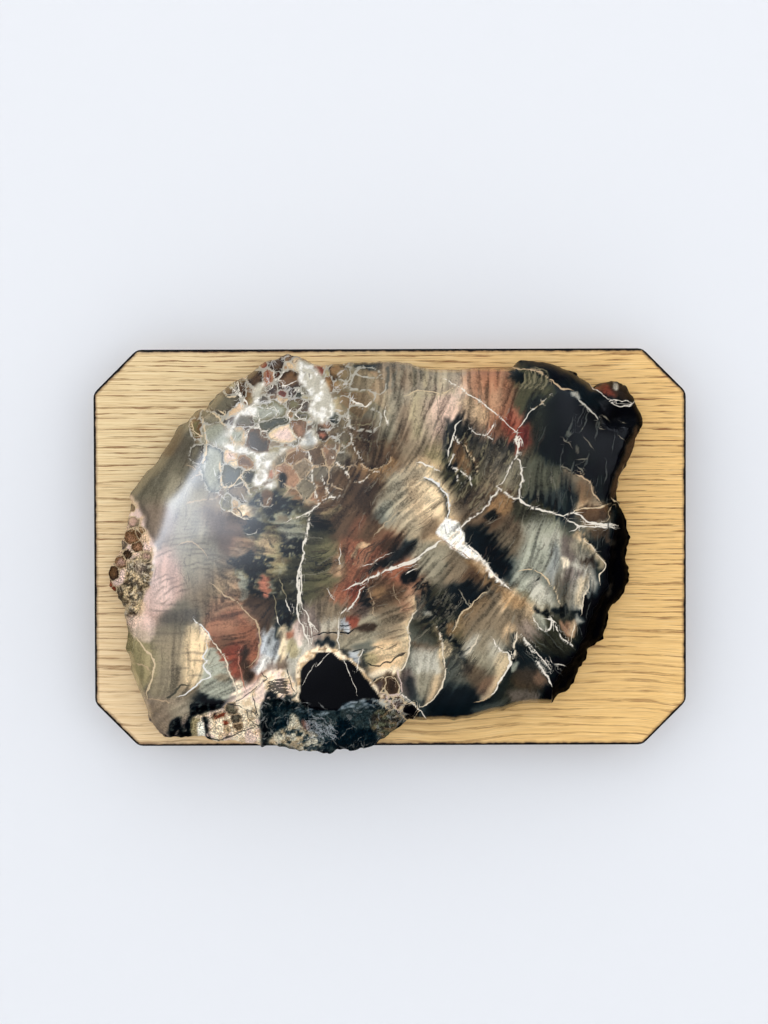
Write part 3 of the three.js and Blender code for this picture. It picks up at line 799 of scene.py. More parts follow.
# direction of the wood's streaks: place, then degrees up from the right
FLOW = (
    -100, -45, 88, -98, -25, 95, -80, -42, 8, -70, 0, -10, -40, -10, -4, -36, 6, -6, -27, -8, 40,
    -22, -2, 72, -20, 6, 56, -15, 16, 58, -5, 10, 52, 5, 26, 40, 18, 24, 36, 20, 12, 40, 10, 46, 58,
    5, 62, 72, 16, 60, 74, 24, 54, 76, 26, 70, 64, 5, 85, 92, 20, 82, 90, 46, 80, 90, 50, 70, 88,
    58, 72, 74, 65, 76, 64, 68, 86, 80, 76, 74, 52, 70, 60, 70, 38, 42, 66, 48, 42, 68, 56, 40, 62,
    38, 28, 52, 45, 12, 42, 34, 8, 50, 24, -8, 48, 14, -16, 50, 22, -30, 52, 36, -16, 50, 30, -46, 52,
    0, -34, 24, 0, -46, 14, -8, -28, 20, 12, -58, 84, 40, -60, 56, 55, 0, 48, 65, 15, 66, 70, 0, 74,
    70, -16, 50, 82, -20, 84, 76, -46, -48, 75, 30, 88, 100, 40, 80, -30, -62, 2, -12, 52, 76,
    -40, -86, 24, -15, -82, 12, -110, 40, 58, -116, 10, 76, -95, 10, 80, -70, 60, 40, -80, -85, 20,
    -60, -50, 70, -33, -38, 88, -18, -20, 60, 95, -10, 76, 105, -20, 84
)
# veins: width in mm, then the places along it
VEINS = (
    (1.5, -40, 16.5, -40.5, 10, -42, 5, -43, 0, -43, -4, -44.5, -9, -45.6, -13, -46, -18, -45.3, -23,
        -46, -28, -46, -33, -43.5, -38, -41.5, -44, -40, -49),
    (1.0, -44, -9, -44.2, -14, -44.2, -20, -44.6, -26, -42, -31, -39.5, -36, -36, -41),
    (0.6, -40, -36, -39.3, -42, -38.6, -49),
    (1.0, -51.5, 12.8, -46, 15.3, -41, 16.5, -38, 18.8, -35, 21.5, -31, 24, -28.5, 24.8, -25.6, 25.2),
    (1.0, -41, 47, -40, 44, -38.6, 40, -38.8, 33.5, -37, 29, -36, 25, -35.2, 21.5),
    (0.9, -34, 35, -32.4, 31, -30.6, 27, -29, 24.8), (2.2, -28.6, 44, -26, 41, -23, 38.5, -20.5, 35.5),
    (0.6, -17, 32, -12, 34, -9, 36.6, -6, 37),
    (1.5, 28, 4.5, 22, 1.5, 17, -2, 12, -5.2, 6, -8, 0, -10, -5, -12.5, -10, -15, -16, -17.6, -22, -20.6),
    (1.3, 15, -4.5, 10, -7.5, 5, -9.4, -2, -11, -8, -14),
    (1.2, -10.5, -15.5, -13, -19, -15, -22, -17, -25, -19.5, -28.8, -22.5, -31, -26, -33.5),
    (0.5, 0, -2.5, -5, -5, -10, -8, -13.5, -9.5), (0.8, 13, -10, 10.5, -11.5, 8, -13),
    (1.3, 34, 9.5, 37, 12.5, 43, 17, 48, 22, 51, 26.5, 52.8, 28.3),
    (1.5, 51.5, 29.8, 54, 28, 57, 26.5, 62, 23.5, 67, 21, 72, 18.5, 78, 17.5, 82, 16, 85, 14.2),
    (1.6, 85, 15, 88, 16.6, 91, 16.4, 95, 13.6, 99, 11.8, 104, 11, 110, 11.2),
    (0.8, 86, 13.5, 89, 12, 91.5, 10.6, 95, 10.5, 100, 9.8, 105, 9.6, 110.5, 9.2),
    (0.7, 91.5, 10.4, 90.5, 9, 88, 7.6),
    (1.0, 26.5, 82.5, 30, 80.8, 34, 78.3, 36.5, 76, 42, 73, 47, 69, 52, 65.2, 57, 60.5, 60, 57,
        61.8, 55.6, 61, 52.6, 62, 49.5, 63.2, 46.6),
    (1.2, 61.6, 56, 62.6, 52, 62.2, 48, 61.4, 44.8, 63, 42, 63.9, 38, 64, 33, 63, 28.5, 62.6, 24.5),
    (0.8, 62.6, 46, 60, 42.5, 57.5, 37.5, 55.5, 33.5, 53.6, 30.4),
    (0.6, 62.3, 56.5, 64, 60.5, 67, 64.4, 70, 68, 74, 71, 78.5, 74.6), (0.7, 63, 54.5, 64.8, 51),
    (0.8, 33.8, 62, 31.6, 58, 30, 54, 28.8, 49, 28, 44.5), (0.8, 31, 54, 32.2, 51.8, 34, 51),
    (0.8, 30.4, 45, 28.8, 42, 28.2, 40.8), (0.7, 38.8, 58.5, 43, 55.4, 47, 54, 50, 52.4),
    (0.7, 47, 54, 49, 57.4, 50.2, 60.5), (0.7, 29.5, 39.5, 33, 38.6, 36, 36.6, 38, 35),
    (0.8, 31.8, 38, 32.6, 35, 33.6, 32), (0.7, 39, 35, 39.4, 31),
    (0.6, 97, 82, 99, 78.5, 101.5, 76.4, 104, 75, 106, 72.8, 109, 70.4, 113, 69, 116.5, 69.5, 119, 71),
    (0.5, 107, 73, 111, 71.6, 115, 71.8, 118, 70.5), (0.7, 64, -42.5, 68, -47.5, 73, -53, 78.5, -59.4),
    (0.5, 65.5, -45, 67.5, -48.5, 70.5, -52), (1.6, 71, -55.5, 74, -59, 76.5, -63, 78.6, -66.5),
    (0.6, 69.8, -34.4, 72, -37.5, 75.5, -41), (1.1, 80, -38.8, 83, -43.6, 86, -46, 89.4, -48.6),
    (1.1, 78.2, -34.5, 78.2, -37.5, 76.8, -41), (0.9, 75.6, -35.4, 78.2, -35.6, 80, -37),
    (0.5, 78, -54.6, 79.6, -57.2, 84.5, -58), (0.7, 5, -71.6, 8, -74, 11, -76.6, 14.5, -80.4, 17, -83.8),
    (0.4, -30, -51.6, -33, -54, -35, -57, -36, -58.6),
    (0.4, -37.5, -57.5, -40, -60.5, -42, -65, -43, -67),
    (0.5, -23.2, -55, -21.4, -60, -19, -64.5, -18, -67.5, -17.4, -71),
    (0.8, -51.4, -26, -50.3, -28.6, -49.8, -31), (0.9, -56, -34, -55.2, -37),
    (0.5, -31, -20.5, -29.8, -23.4, -28, -25.4), (0.5, -24.9, 0.4, -25.3, -4, -25, -8.5),
    (0.6, -21.4, 68.6, -21, 63, -19.8, 58), (0.5, -20, 56, -18.6, 50, -16.4, 46, -14.6, 43.2),
    (0.6, -14, -50, -15.4, -55, -16.8, -59.4), (0.6, -49, 56.4, -45.8, 54, -43, 52.4),
    (0.7, -2.2, 69, -2.8, 65, -1.6, 60.6), (0.7, -26, -34, -25.6, -40, -25.8, -46, -25.2, -50.4),
)
# cells of the broken corner: the colour of the edge and of the heart, then discs of x, z and radius
BRECCIA = (
    ("smoke_dark", "smoke", -84, 71, 5, -79.5, 71, 4.5, -87, 68, 3),
    ("umber", "smoke_dark", -79.5, 75.5, 2.6, -76.8, 76.3, 2), ("moss", "straw", -77, 79.6, 1.7),
    ("bark", "umber", -73, 79, 2.6, -71.6, 76.2, 2.4), ("brown", "straw", -69.6, 73.6, 2.2, -70, 80, 1.4),
    ("tan", "blush", -77, 67.4, 2.8, -74, 69.8, 1.8), ("smoke", "haze", -86.5, 63.8, 4.2, -83, 63, 2),
    ("haze", "sage", -86.5, 57, 4.8, -84, 54, 4), ("smoke_dark", "smoke", -81.6, 62.4, 1.7),
    ("brown", "moss", -95, 60.5, 2.2, -94, 56.5, 2.2),
    ("slate", "sage", -87, 45, 4, -87, 38.5, 3.8, -86, 32, 3), ("smoke_dark", "smoke", -93.5, 46, 3),
    ("umber", "smoke", -75.2, 62.6, 2.8, -70.4, 61.6, 2.6, -72.8, 63, 2.6),
    ("tan", "sage", -75, 56.4, 3.2, -73, 54, 2.8),
    ("brown", "smoke_dark", -66.4, 53.4, 4, -63.4, 51.6, 3.2), ("umber", "ochre", -62.4, 55.6, 1.8),
    ("moss", "sage", -61.6, 66, 4, -57.6, 67, 3.6, -53.6, 66.4, 2.4),
    ("olive", "slate", -61, 61.4, 3, -56.6, 61.6, 3.2, -52.6, 62.6, 2.2),
    ("smoke_dark", "taupe", -63.4, 71.6, 1.2, -61.4, 73, 1.2, -60, 70.4, 1.4),
    ("bark", "umber", -66, 83.4, 2.8, -64.6, 84, 2.4),
    ("clay", "brick", -59.6, 84, 2.7, -59.4, 81.8, 1.8), ("bark", "brick", -55.6, 84.6, 1.9),
    ("bark", "umber", -55.6, 89.6, 2.8, -58.2, 90.2, 1.4), ("ochre", "clay", -52.2, 88.6, 1.3),
    ("brick", "rust", -62, 90, 1.4), ("bark", "brown", -51.4, 81, 3.6, -48.2, 81.4, 3.2, -49, 83.6, 2.6),
    ("bark", "umber", -47.8, 77.4, 2.4), ("brick", "bark", -52, 77, 1.9),
    ("umber", "bark", -57.2, 78.4, 2.1), ("olive_dark", "moss", -45.3, 75.4, 1.4),
    ("umber", "moss", -46.8, 70, 2.7, -44.4, 70.8, 1.8),
    ("umber", "smoke_dark", -41.2, 69.8, 2.1, -42.6, 68, 1.6),
    ("moss", "smoke_dark", -44.2, 65, 2.5, -41.6, 65.4, 1.6), ("ochre", "moss", -48.6, 66, 1.5),
    ("brown", "clay", -45.6, 60, 2.6, -44.6, 57, 2.2, -43.6, 62, 1.6),
    ("sand", "blush", -54.4, 57, 3, -50.4, 55.6, 2.8, -51, 59, 1.8), ("brick", "rust", -35.3, 87, 1.8),
    ("bark", "umber", -34.7, 82.6, 1.6),
    ("brown", "ochre", -31.2, 80.4, 2.5, -30, 82.2, 1.6, -30.3, 78.4, 1.5),
    ("bark", "ochre", -25.6, 87, 2.9, -23.4, 85.2, 2.7, -26.6, 83.6, 1.8),
    ("ochre", "sand", -24.6, 81.2, 2.2),
    ("umber", "brown", -13.5, 85.4, 2.2, -10.4, 85.6, 2, -7.6, 85.4, 1.6),
    ("bark", "umber", -14, 81.8, 2.8, -10.6, 80.6, 2.6, -17.4, 79.4, 1.4, -6, 80, 2.6),
    ("sand", "smoke", -15.4, 74.4, 3.2, -12, 74.6, 2.8, -12.4, 72.2, 2),
    ("tan", "sand", -24.6, 70, 2.8, -22.6, 71.2, 2.3, -24, 67.4, 2),
    ("moss", "smoke", -14.4, 64, 3.8, -16, 66.4, 2.6, -10, 63, 3.4), ("umber", "taupe", -22.8, 62, 1.8),
    ("night", "slate", -27.2, 63.6, 2, -29, 61.8, 1),
    ("umber", "olive_dark", -33.6, 64.2, 1.1, -31.4, 65.6, 1),
    ("umber", "clay", -33.2, 60, 1.7, -30.6, 60.2, 1.7),
    ("bark", "coral", -32.4, 55.2, 1.8, -34.2, 57.6, 1), ("brown", "tan", -28, 56.6, 1.8, -25.2, 57, 2),
    ("ochre", "sand", -22.6, 54, 2.6, -24.6, 55, 1.6), ("ochre", "moss", -28.4, 51.6, 2),
    ("black", "ink", -25.4, 51.4, 1.4, -24, 49, 1.3), ("tan", "blush", -79.2, 45, 2.2, -76.4, 44.2, 1.8),
    ("ochre", "brown", -72.6, 42.2, 2.2, -69.2, 40.4, 2), ("sand", "cream", -76, 41, 1.8),
    ("olive", "slate", -79, 36, 3.4, -76, 34.6, 3.2, -75, 37.6, 2.4),
    ("moss", "olive_dark", -69.6, 35, 2.8, -68.4, 33, 2.4),
    ("smoke_dark", "taupe", -74, 28.4, 3.4, -72.8, 26, 2.8),
    ("moss", "smoke", -80, 22, 2.2, -78.4, 24.6, 1.8), ("tan", "haze", -75.4, 23, 1.8),
    ("moss", "brown", -66.6, 29.6, 1.5, -68.2, 28, 1.3), ("bark", "brick", -61, 40, 1.3, -60, 42.8, 1.3),
    ("bark", "brick", -62.4, 36.8, 1.3, -64, 34.8, 0.8),
    ("clay", "coral", -57.6, 36.4, 1.4, -60.4, 34.6, 0.8),
    ("bark", "brown", -62.2, 26, 2.1, -61.4, 23.4, 1.7), ("ochre", "brown", -58.8, 23, 1.3),
)


def breccia(c):
    """Broken cells of brown and grey wood in a pale filling, upper left."""
    corner = (-96, 66, -84, 79, -70, 88, -60, 94, -44, 96, -30, 92, -17, 91, -18, 78, -20, 66, -19, 52,
            -26, 45, -38, 46, -50, 40, -56, 30, -64, 24, -70, 21, -84, 24, -92, 42, -98, 58)
    c.patch("smoke", 1.5, 0.9, corner)
    c.mottle("haze", 5, 0.4, 0.7, corner, 0.8, 1.5)
    c.mottle("brown", 4, 0.5, 0.75, corner, 0.6, 1.5, 3)
    c.rubble("pearl", 5.4, 0.8, ("brown", "umber", "taupe", "moss", "tan", "smoke", "brown", "straw"),
            (-90, 68, -66, 88, -44, 96, -20, 92, -22, 76, -26, 66, -36, 50, -50, 44, -60, 30, -72, 30,
            -82, 44, -86, 58), 0.85)
    c.cells("pearl", 0.9, BRECCIA)
    for band in ((-46, 92, -36, 88, -30, 76, -27, 68, -34, 60, -40, 66, -40, 76, -46, 84), (-82, 52,
            -74, 50, -66, 47, -58, 47, -52, 44, -54, 38, -57, 34, -59, 40, -62, 32, -68, 31, -66, 38,
            -68, 44, -78, 47), (-68, 71, -66, 80, -62, 81, -63, 76, -66, 70),
            (-82, 56, -78, 60, -74, 66, -68, 71, -66, 70, -67, 65, -72, 65, -76, 61, -79, 54),
            (-72, 24, -66, 27, -60, 32, -54, 32, -58, 27, -64, 23, -70, 20),
            (-42, 56, -38, 58, -36, 50, -44, 44, -56, 43, -54, 49, -46, 49)):
        c.patch("pearl", 1.2, 0.95, band)
        c.mottle("white", 2.6, 0.42, 0.62, band, 0.8, 1.0, 7)
        c.wipe(band)
    c.patch("steel", 1.5, 0.6, -43, 55, -39, 56, -38, 50, -41, 48)
    c.flecks("white", 60, 3.4, 0.5, corner, 0.7, None, 2)
    c.flecks("bark", 60, 2.4, 0.5, corner, 0.6, None, 5)
    c.patch("black", 0.8, 1, -17.5, 90, -10, 91, -4, 90, -5, 87, -11, 87, -17, 87.5)
    for width, *points in ((0.9, -98, 62, -96, 57, -92, 55),
            (1.0, -93, 65, -91, 58, -90, 52, -91, 46, -92, 41), (0.8, -90, 67, -86, 65, -83, 61, -80, 59),
            (0.8, -81, 74.5, -79, 73.4, -76, 74), (0.9, -84, 67, -82, 65.6, -80.6, 62.6),
            (1.1, -84, 42, -83.4, 36, -83, 31, -80, 29),
            (0.9, -79, 29, -76, 32, -74, 34, -71, 31, -69.6, 27), (0.7, -74, 34, -72, 37, -69, 39)):
        c.stroke("sand", width, 1, points)
    for width, *points in ((1.1, -78.6, 79, -76, 76, -73, 73.4, -70, 70),
            (0.8, -75, 80.6, -74.6, 77, -73, 74), (0.7, -72, 66, -70, 68.6, -67, 70),
            (0.6, -70, 68, -67.6, 65, -66, 64), (0.7, -69.6, 59, -66, 58.6, -62, 57.4, -60, 57),
            (0.5, -69, 57, -71, 54.4, -72, 53.6), (0.6, -57.6, 86, -56.4, 82, -53, 81.6),
            (0.6, -52.4, 86, -55, 82), (0.7, -58, 79.6, -60, 77.4, -62, 76.6),
            (0.6, -53.6, 79, -50, 79.6, -46, 81.6), (0.6, -48, 76, -45.6, 77.6, -43.6, 75),
            (0.6, -46, 67, -43.6, 69.6, -41.4, 72), (0.6, -48.6, 68, -50.6, 66, -49.4, 62),
            (0.6, -46.4, 66.6, -46, 63.4, -43, 62.4), (0.9, -48.6, 56.2, -45, 54, -42, 52.6),
            (1.0, -19, 72.5, -16, 70.5, -12.5, 69.2, -10.5, 71), (0.6, -61, 68.2, -57, 68.6, -56, 64),
            (0.6, -65.4, 66, -64.6, 61, -63.6, 58)):
        c.stroke("ivory", width, 1, points)


def under_breccia(c):
    """Brown wood below the breccia, down to the branching white veins."""
    c.rubble("moss", 13, 0.4, ("smoke", "taupe", "moss", "smoke_dark", "brown"),
            (-24, 88, -6, 84, -2, 70, -2, 56, -8, 46, -20, 40, -28, 50, -26, 66), 0.6, 4)
    c.rubble("tan", 8, 0.7, ("taupe", "brown", "smoke", "moss", "umber", "clay"),
            (-56, 44, -40, 50, -26, 50, -18, 42, -22, 30, -34, 22, -50, 24, -56, 34), 0.85, 2, 1)
    c.mottle("smoke_dark", "broad", 0.45, 0.7, (-30, 60, -8, 60, -8, 44, -20, 28, -34, 24, -44, 40), 0.5)
    c.patch("black", 1.2, 0.85, -54, 36, -52, 36, -51, 30, -54, 29)
    c.patch("brown", 1.5, 0.9, -36, 34, -34, 33, -31, 26, -33, 22, -36, 25)
    c.patch("umber", 2.5, 0.85, -33, 34, -22, 38, -18, 34, -24, 26, -31, 26)
    c.patch("bark", 3, 0.9, -22, 43, -15, 42, -13, 36, -18, 33, -23, 38)
    c.patch("umber", 4, 0.8, -20, 60, -8, 62, -6, 48, -12, 44, -19, 50)
    c.patch("bark", 2, 0.5, -15, 58, -8, 60, -7, 48, -12, 46)
    c.edge("ochre", 8, "bark", 3, 0.9, 0, 45, -2, 41, -7, 38.5, -12, 39, -16, 42.5)
    c.stroke("tan", 0.9, 1, 1, 45, -1.5, 41, -6, 38.5, -11, 38.5, -15, 41)
    c.stroke("tan", 0.8, 1, -17, 32, -12, 34, -9, 36.5, -6, 37)
    c.stroke("straw", 0.7, 0.6, -19, 60, -12, 60, -8, 63, -7, 67, -8, 71)


def dark_mottle(c):
    """Black and moss mottling left of the long vein."""
    zone = (-71, 26, -60, 29, -50, 26, -44, 21, -41, 12, -42, 0, -44, -14, -46, -36, -56, -38, -58, -24,
            -70, -23, -78, -9, -72, 6, -66, 12)
    c.patch("moss", 2.5, 0.85, zone)
    c.mottle("olive_dark", 5, 0.42, 0.66, zone, 0.8, 3, 1)
    c.mottle("sage", 2.6, 0.52, 0.7, zone, 0.55, 3, 2)
    c.mottle("umber", 3.4, 0.55, 0.7, zone, 0.5, 3, 3)
    c.patch("clay", 2.5, 0.5, -77, 4, -67, 4, -66, -4, -76, -5)
    c.patch("straw", 1.2, 0.9, -66, 5, -58, 6, -53, 2, -54, -5, -64, -6, -67, -2)
    c.patch("tan", 2.5, 0.7, -65, 5, -59, 4, -58, -2, -62, -5, -66, -2)
    c.patch("sage", 2, 0.7, -55, 13, -44, 12, -42, 5, -50, 4, -56, 7)
    c.patch("straw", 1.5, 0.5, -60, -8, -52, -7, -51, -13, -58, -15)
    c.patch("olive_dark", 2, 0.75, -50, -7, -44, -6, -46, -30, -56, -27, -58, -18, -52, -13)
    for shape in ((-70, 21, -66, 26, -62, 25, -63, 19, -60, 16, -56, 13, -58, 18, -56, 22, -64, 20),
            (-58, 27, -50, 23, -49, 15, -53, 18, -59, 20), (-48.5, 23, -42, 23, -42, 21, -48, 21),
            (-71, 13, -65, 14, -63, 8, -71, 6), (-54, 1, -45, 5, -45, -5, -53, -4), (-80, -6, -72, -4,
            -70, -1, -67, -3, -57, -5.5, -61, -8, -60, -12, -66, -14, -68, -22, -71, -22, -71, -12,
            -76, -10), (-57, -27, -47, -28, -48, -37, -56, -38),
            (-68, -21, -58, -22.5, -58, -25, -68, -24)):
        c.mottle("night", 1.7, 0.26, 0.42, shape, 0.95, 1.2, 4)
        c.mottle("black", 1.3, 0.42, 0.6, shape, 0.9, 0.8, 5)
    c.flecks("black", 26, 3.2, 0.8, (-80, 0, -56, 0, -56, -22, -74, -22), 0.7, None, 3)
    c.flecks("black", 26, 3, 0.8, (-62, 22, -44, 20, -43, -30, -58, -30), 0.7, None, 4)
    c.flecks("sage", 26, 2.6, 0.7, zone, 0.6, None, 5)
    c.patch("brown", 1, 0.9, -64, 27, -59, 28, -58, 22, -62, 21)
    c.patch("sage", 1.2, 0.8, -75, -13, -72, -13, -71, -24, -75, -25)
    c.patch("coral", 1.2, 0.9, -64, -14, -61, -15, -59, -22, -61, -24, -65, -20)
    c.patch("bark", 2, 0.9, -69, -24, -59, -25, -57, -30, -58, -39, -64, -42, -68, -32)
    c.patch("umber", 2.5, 0.6, -66, -28, -60, -28, -59, -38, -64, -40)
    c.stroke("black", 0.7, 0.8, -70, -22.5, -66, -22, -62, -22.5, -60, -23)
    c.stroke("pearl", 0.9, 0.8, -70.5, 6.5, -68.5, 6, -65, 8)
    c.stroke("straw", 0.7, 0.8, -54.5, -15, -53, -20, -51.5, -25)
    c.stroke("straw", 0.7, 0.6, -58.5, -23, -57, -27, -56, -34)


def left_face(c):
    """Smoky left end with fine cross lines, pink at its rim."""
    c.patch("umber", 3, 0.6, -113, 46, -106, 56, -102, 58, -104, 50, -108, 44)
    c.patch("smoke_dark", 5, 0.4, -106, 52, -95, 54, -93, 42, -104, 42)
    c.patch("taupe", 6, 0.5, -120, 20, -112, 24, -108, 8, -114, 0, -119, 8)
    c.patch("smoke_dark", 1.5, 0.5, -124, 20, -120, 20, -116, 4, -113, 0, -116, 0, -121, 10)
    c.patch("plum", 6, 0.7, -90, 18, -80, 16, -70, 8, -68, -2, -80, 0, -88, 8)
    c.patch("umber", 5, 0.7, -82, 16, -70, 11, -67, 4, -78, 0)
    c.patch("haze", 5, 0.7, -106, 4, -94, 5, -86, -4, -90, -14, -100, -12, -106, -6)
    c.patch("blush", 5, 0.5, -117, -16, -108, -18, -108, -30, -119, -32)
    c.patch("taupe", 5, 0.6, -98, -14, -84, -12, -82, -30, -94, -32, -100, -24)
    c.patch("tan", 4, 0.6, -84, -14, -77, -12, -75, -20, -78, -27, -86, -26)
    c.patch("clay", 4, 0.7, -88, -26, -77, -24, -72, -30, -76, -38, -88, -38)
    c.patch("smoke", 4, 0.7, -114, -34, -102, -33, -100, -62, -112, -66, -116, -50)
    c.patch("smoke_dark", 2, 0.6, -112, -32, -100, -30, -94, -34, -97, -37, -106, -37, -112, -37)
    c.patch("sand", 3, 0.75, -99, -38, -93, -40, -89, -46, -92, -54, -92, -62, -98, -70, -102, -62,
            -101, -48)
    c.patch("taupe", 4, 0.7, -118, -76, -106, -76, -104, -88, -112, -91, -118, -84)
    c.patch("haze", 3, 0.7, -108, -77, -98, -75, -98, -83, -106, -84)
    c.rings("bark", (-97, -42), 2.6,
            (-116, -4, -106, 6, -92, 8, -80, 0, -74, -16, -84, -24, -94, -30, -112, -28), 0.42, 4)
    c.rings("bark", (-96, -42), 1.7, (-110, 14, -84, 20, -72, 6, -74, -12, -90, 2, -108, 2), 0.22, 5, 1)
    c.rings("smoke_dark", (-112, 150), 3.6, (-118, -30, -92, -32, -91, -62, -100, -72, -118, -70), 0.5,
            2, 2)
    c.rings("bark", (-60, 150), 2.2, (-90, -20, -74, -18, -62, -40, -66, -54, -90, -46), 0.35, 3, 3)
    c.stroke("olive_dark", 1.2, 0.9, -110, -74, -106, -71, -103, -68, -99, -67.5)
    c.stroke("sand", 1.1, 1, -127, -42, -123, -46, -120, -50, -117, -53, -116, -58, -117, -64, -120, -71,
            -120, -74)
    for width, *points in ((0.8, -118, -60, -121, -58, -125, -57), (0.7, -119, -74, -114, -75, -108, -76),
            (0.7, -104, 1, -98, 3, -93, 0, -90, -4), (0.6, -100, 40, -96, 39, -94, 37),
            (0.6, -98, 34, -94, 36, -89, 36), (0.7, -100, 22, -94, 23, -88, 24, -84, 25)):
        c.stroke("tan", width, 0.7, points)
    pocket = (-83, 21, -79, 17.5, -72, 14, -67, 14.5, -64, 18, -66, 22, -72, 22.5, -77, 21)
    c.patch("sand", 1, 1, pocket)
    c.mottle("ochre", 2.4, 0.45, 0.65, pocket, 0.7, 1)
    c.mottle("cream", 2, 0.5, 0.7, pocket, 0.7, 1, 1)
    c.stroke("cream", 0.8, 1, -83, 20.5, -79, 17.5, -74, 15, -70, 14)
    c.stroke("black", 0.9, 0.9, -76, 19, -74, 17, -72.5, 15.5, -71, 16, -69.5, 14.5)


def rust_left(c):
    """Rusty wood, low left, with a pale seam round it."""
    c.patch("clay", 3, 0.7, -90, -34, -76, -27, -66, -34, -66, -46, -78, -48, -88, -44)
    c.patch("rust", 3, 0.7, -88, -36, -76, -30, -70, -36, -64, -42, -64, -52, -70, -58, -80, -50,
            -88, -44)
    c.patch("clay", 3, 0.5, -88, -38, -78, -34, -74, -42, -84, -44)
    c.patch("umber", 2.5, 0.6, -88, -46, -80, -44, -76, -48, -80, -54, -84, -50)
    c.patch("brick", 2.5, 0.9, -82, -50, -75, -48, -73, -60, -76, -67, -80, -58)
    c.patch("bark", 2, 0.9, -74, -50, -71, -50, -68, -58, -67, -64, -71, -68, -73, -60)
    c.patch("sage", 1.2, 0.95, -90, -48, -86, -49, -83, -53, -83, -56, -91, -55)
    c.patch("sage", 1.5, 0.95, -92, -57, -84, -57, -80, -66, -78, -74, -88, -74, -94, -70, -90, -64)
    c.patch("taupe", 1.2, 0.7, -86, -63, -81, -62, -80, -65, -85, -66)
    c.patch("cream", 1.5, 0.9, -76, -66, -73, -66, -73, -74, -76, -75)
    c.edge(None, 1, "cream", 4, 1, -96, -35.5, -92, -39.5, -88.5, -43.5, -87.5, -46)
    c.stroke("white", 0.9, 1, -96, -35.5, -93, -38.5, -90, -42, -88, -45.5)
    c.stroke("white", 1.1, 1, -91, -47, -90.5, -50, -92, -53.5, -90.5, -56, -92.5, -58.5, -90, -61,
            -88.5, -62.5, -91.5, -64.5, -94, -66.5, -97, -68.5, -100, -71.5, -104, -73)
    c.stroke("cream", 1.0, 1, -87.5, -46, -84, -50.5, -81.5, -54, -80, -59, -78, -64, -76.5, -69,
            -75.5, -74)
    c.stroke("tan", 0.9, 1, -88, -18, -84, -21, -80, -24, -75, -27, -71, -32, -67, -36, -64.5, -40,
            -64.5, -48, -66, -54, -70, -58)
    c.stroke("coral", 0.8, 1, -73.5, -48.5, -75, -53, -74, -58, -73, -64, -72, -69)
    c.patch("fog", 2.5, 0.9, -64, -43, -57, -40, -54, -46, -56, -54, -62, -60, -68, -60, -64, -52)
    c.patch("steel", 2, 0.6, -60, -42, -56, -42, -57, -50, -60, -50)
    c.patch("ivory", 1.5, 0.5, -64, -54, -59, -54, -60, -60, -66, -60)
    c.patch("mauve", 1.5, 0.8, -61, -58, -54, -56, -53, -61, -60, -62)
    c.patch("umber", 1.5, 0.6, -56, -56, -53, -52, -51, -58, -53, -61)
    c.patch("night", 1.2, 0.9, -57, -38, -55, -38, -54, -45, -56, -45)
    c.patch("sand", 1.5, 0.7, -55, -40, -52, -38, -51, -50, -54, -54)
    c.patch("rust", 1, 0.9, -51, -41, -47.5, -40, -47.5, -44, -51, -45)
    c.patch("straw", 1.5, 0.8, -51, -46, -46, -45, -45, -52, -50, -54)
    c.patch("blush", 1.5, 0.6, -48, -36, -44, -38, -43, -46, -47, -44)


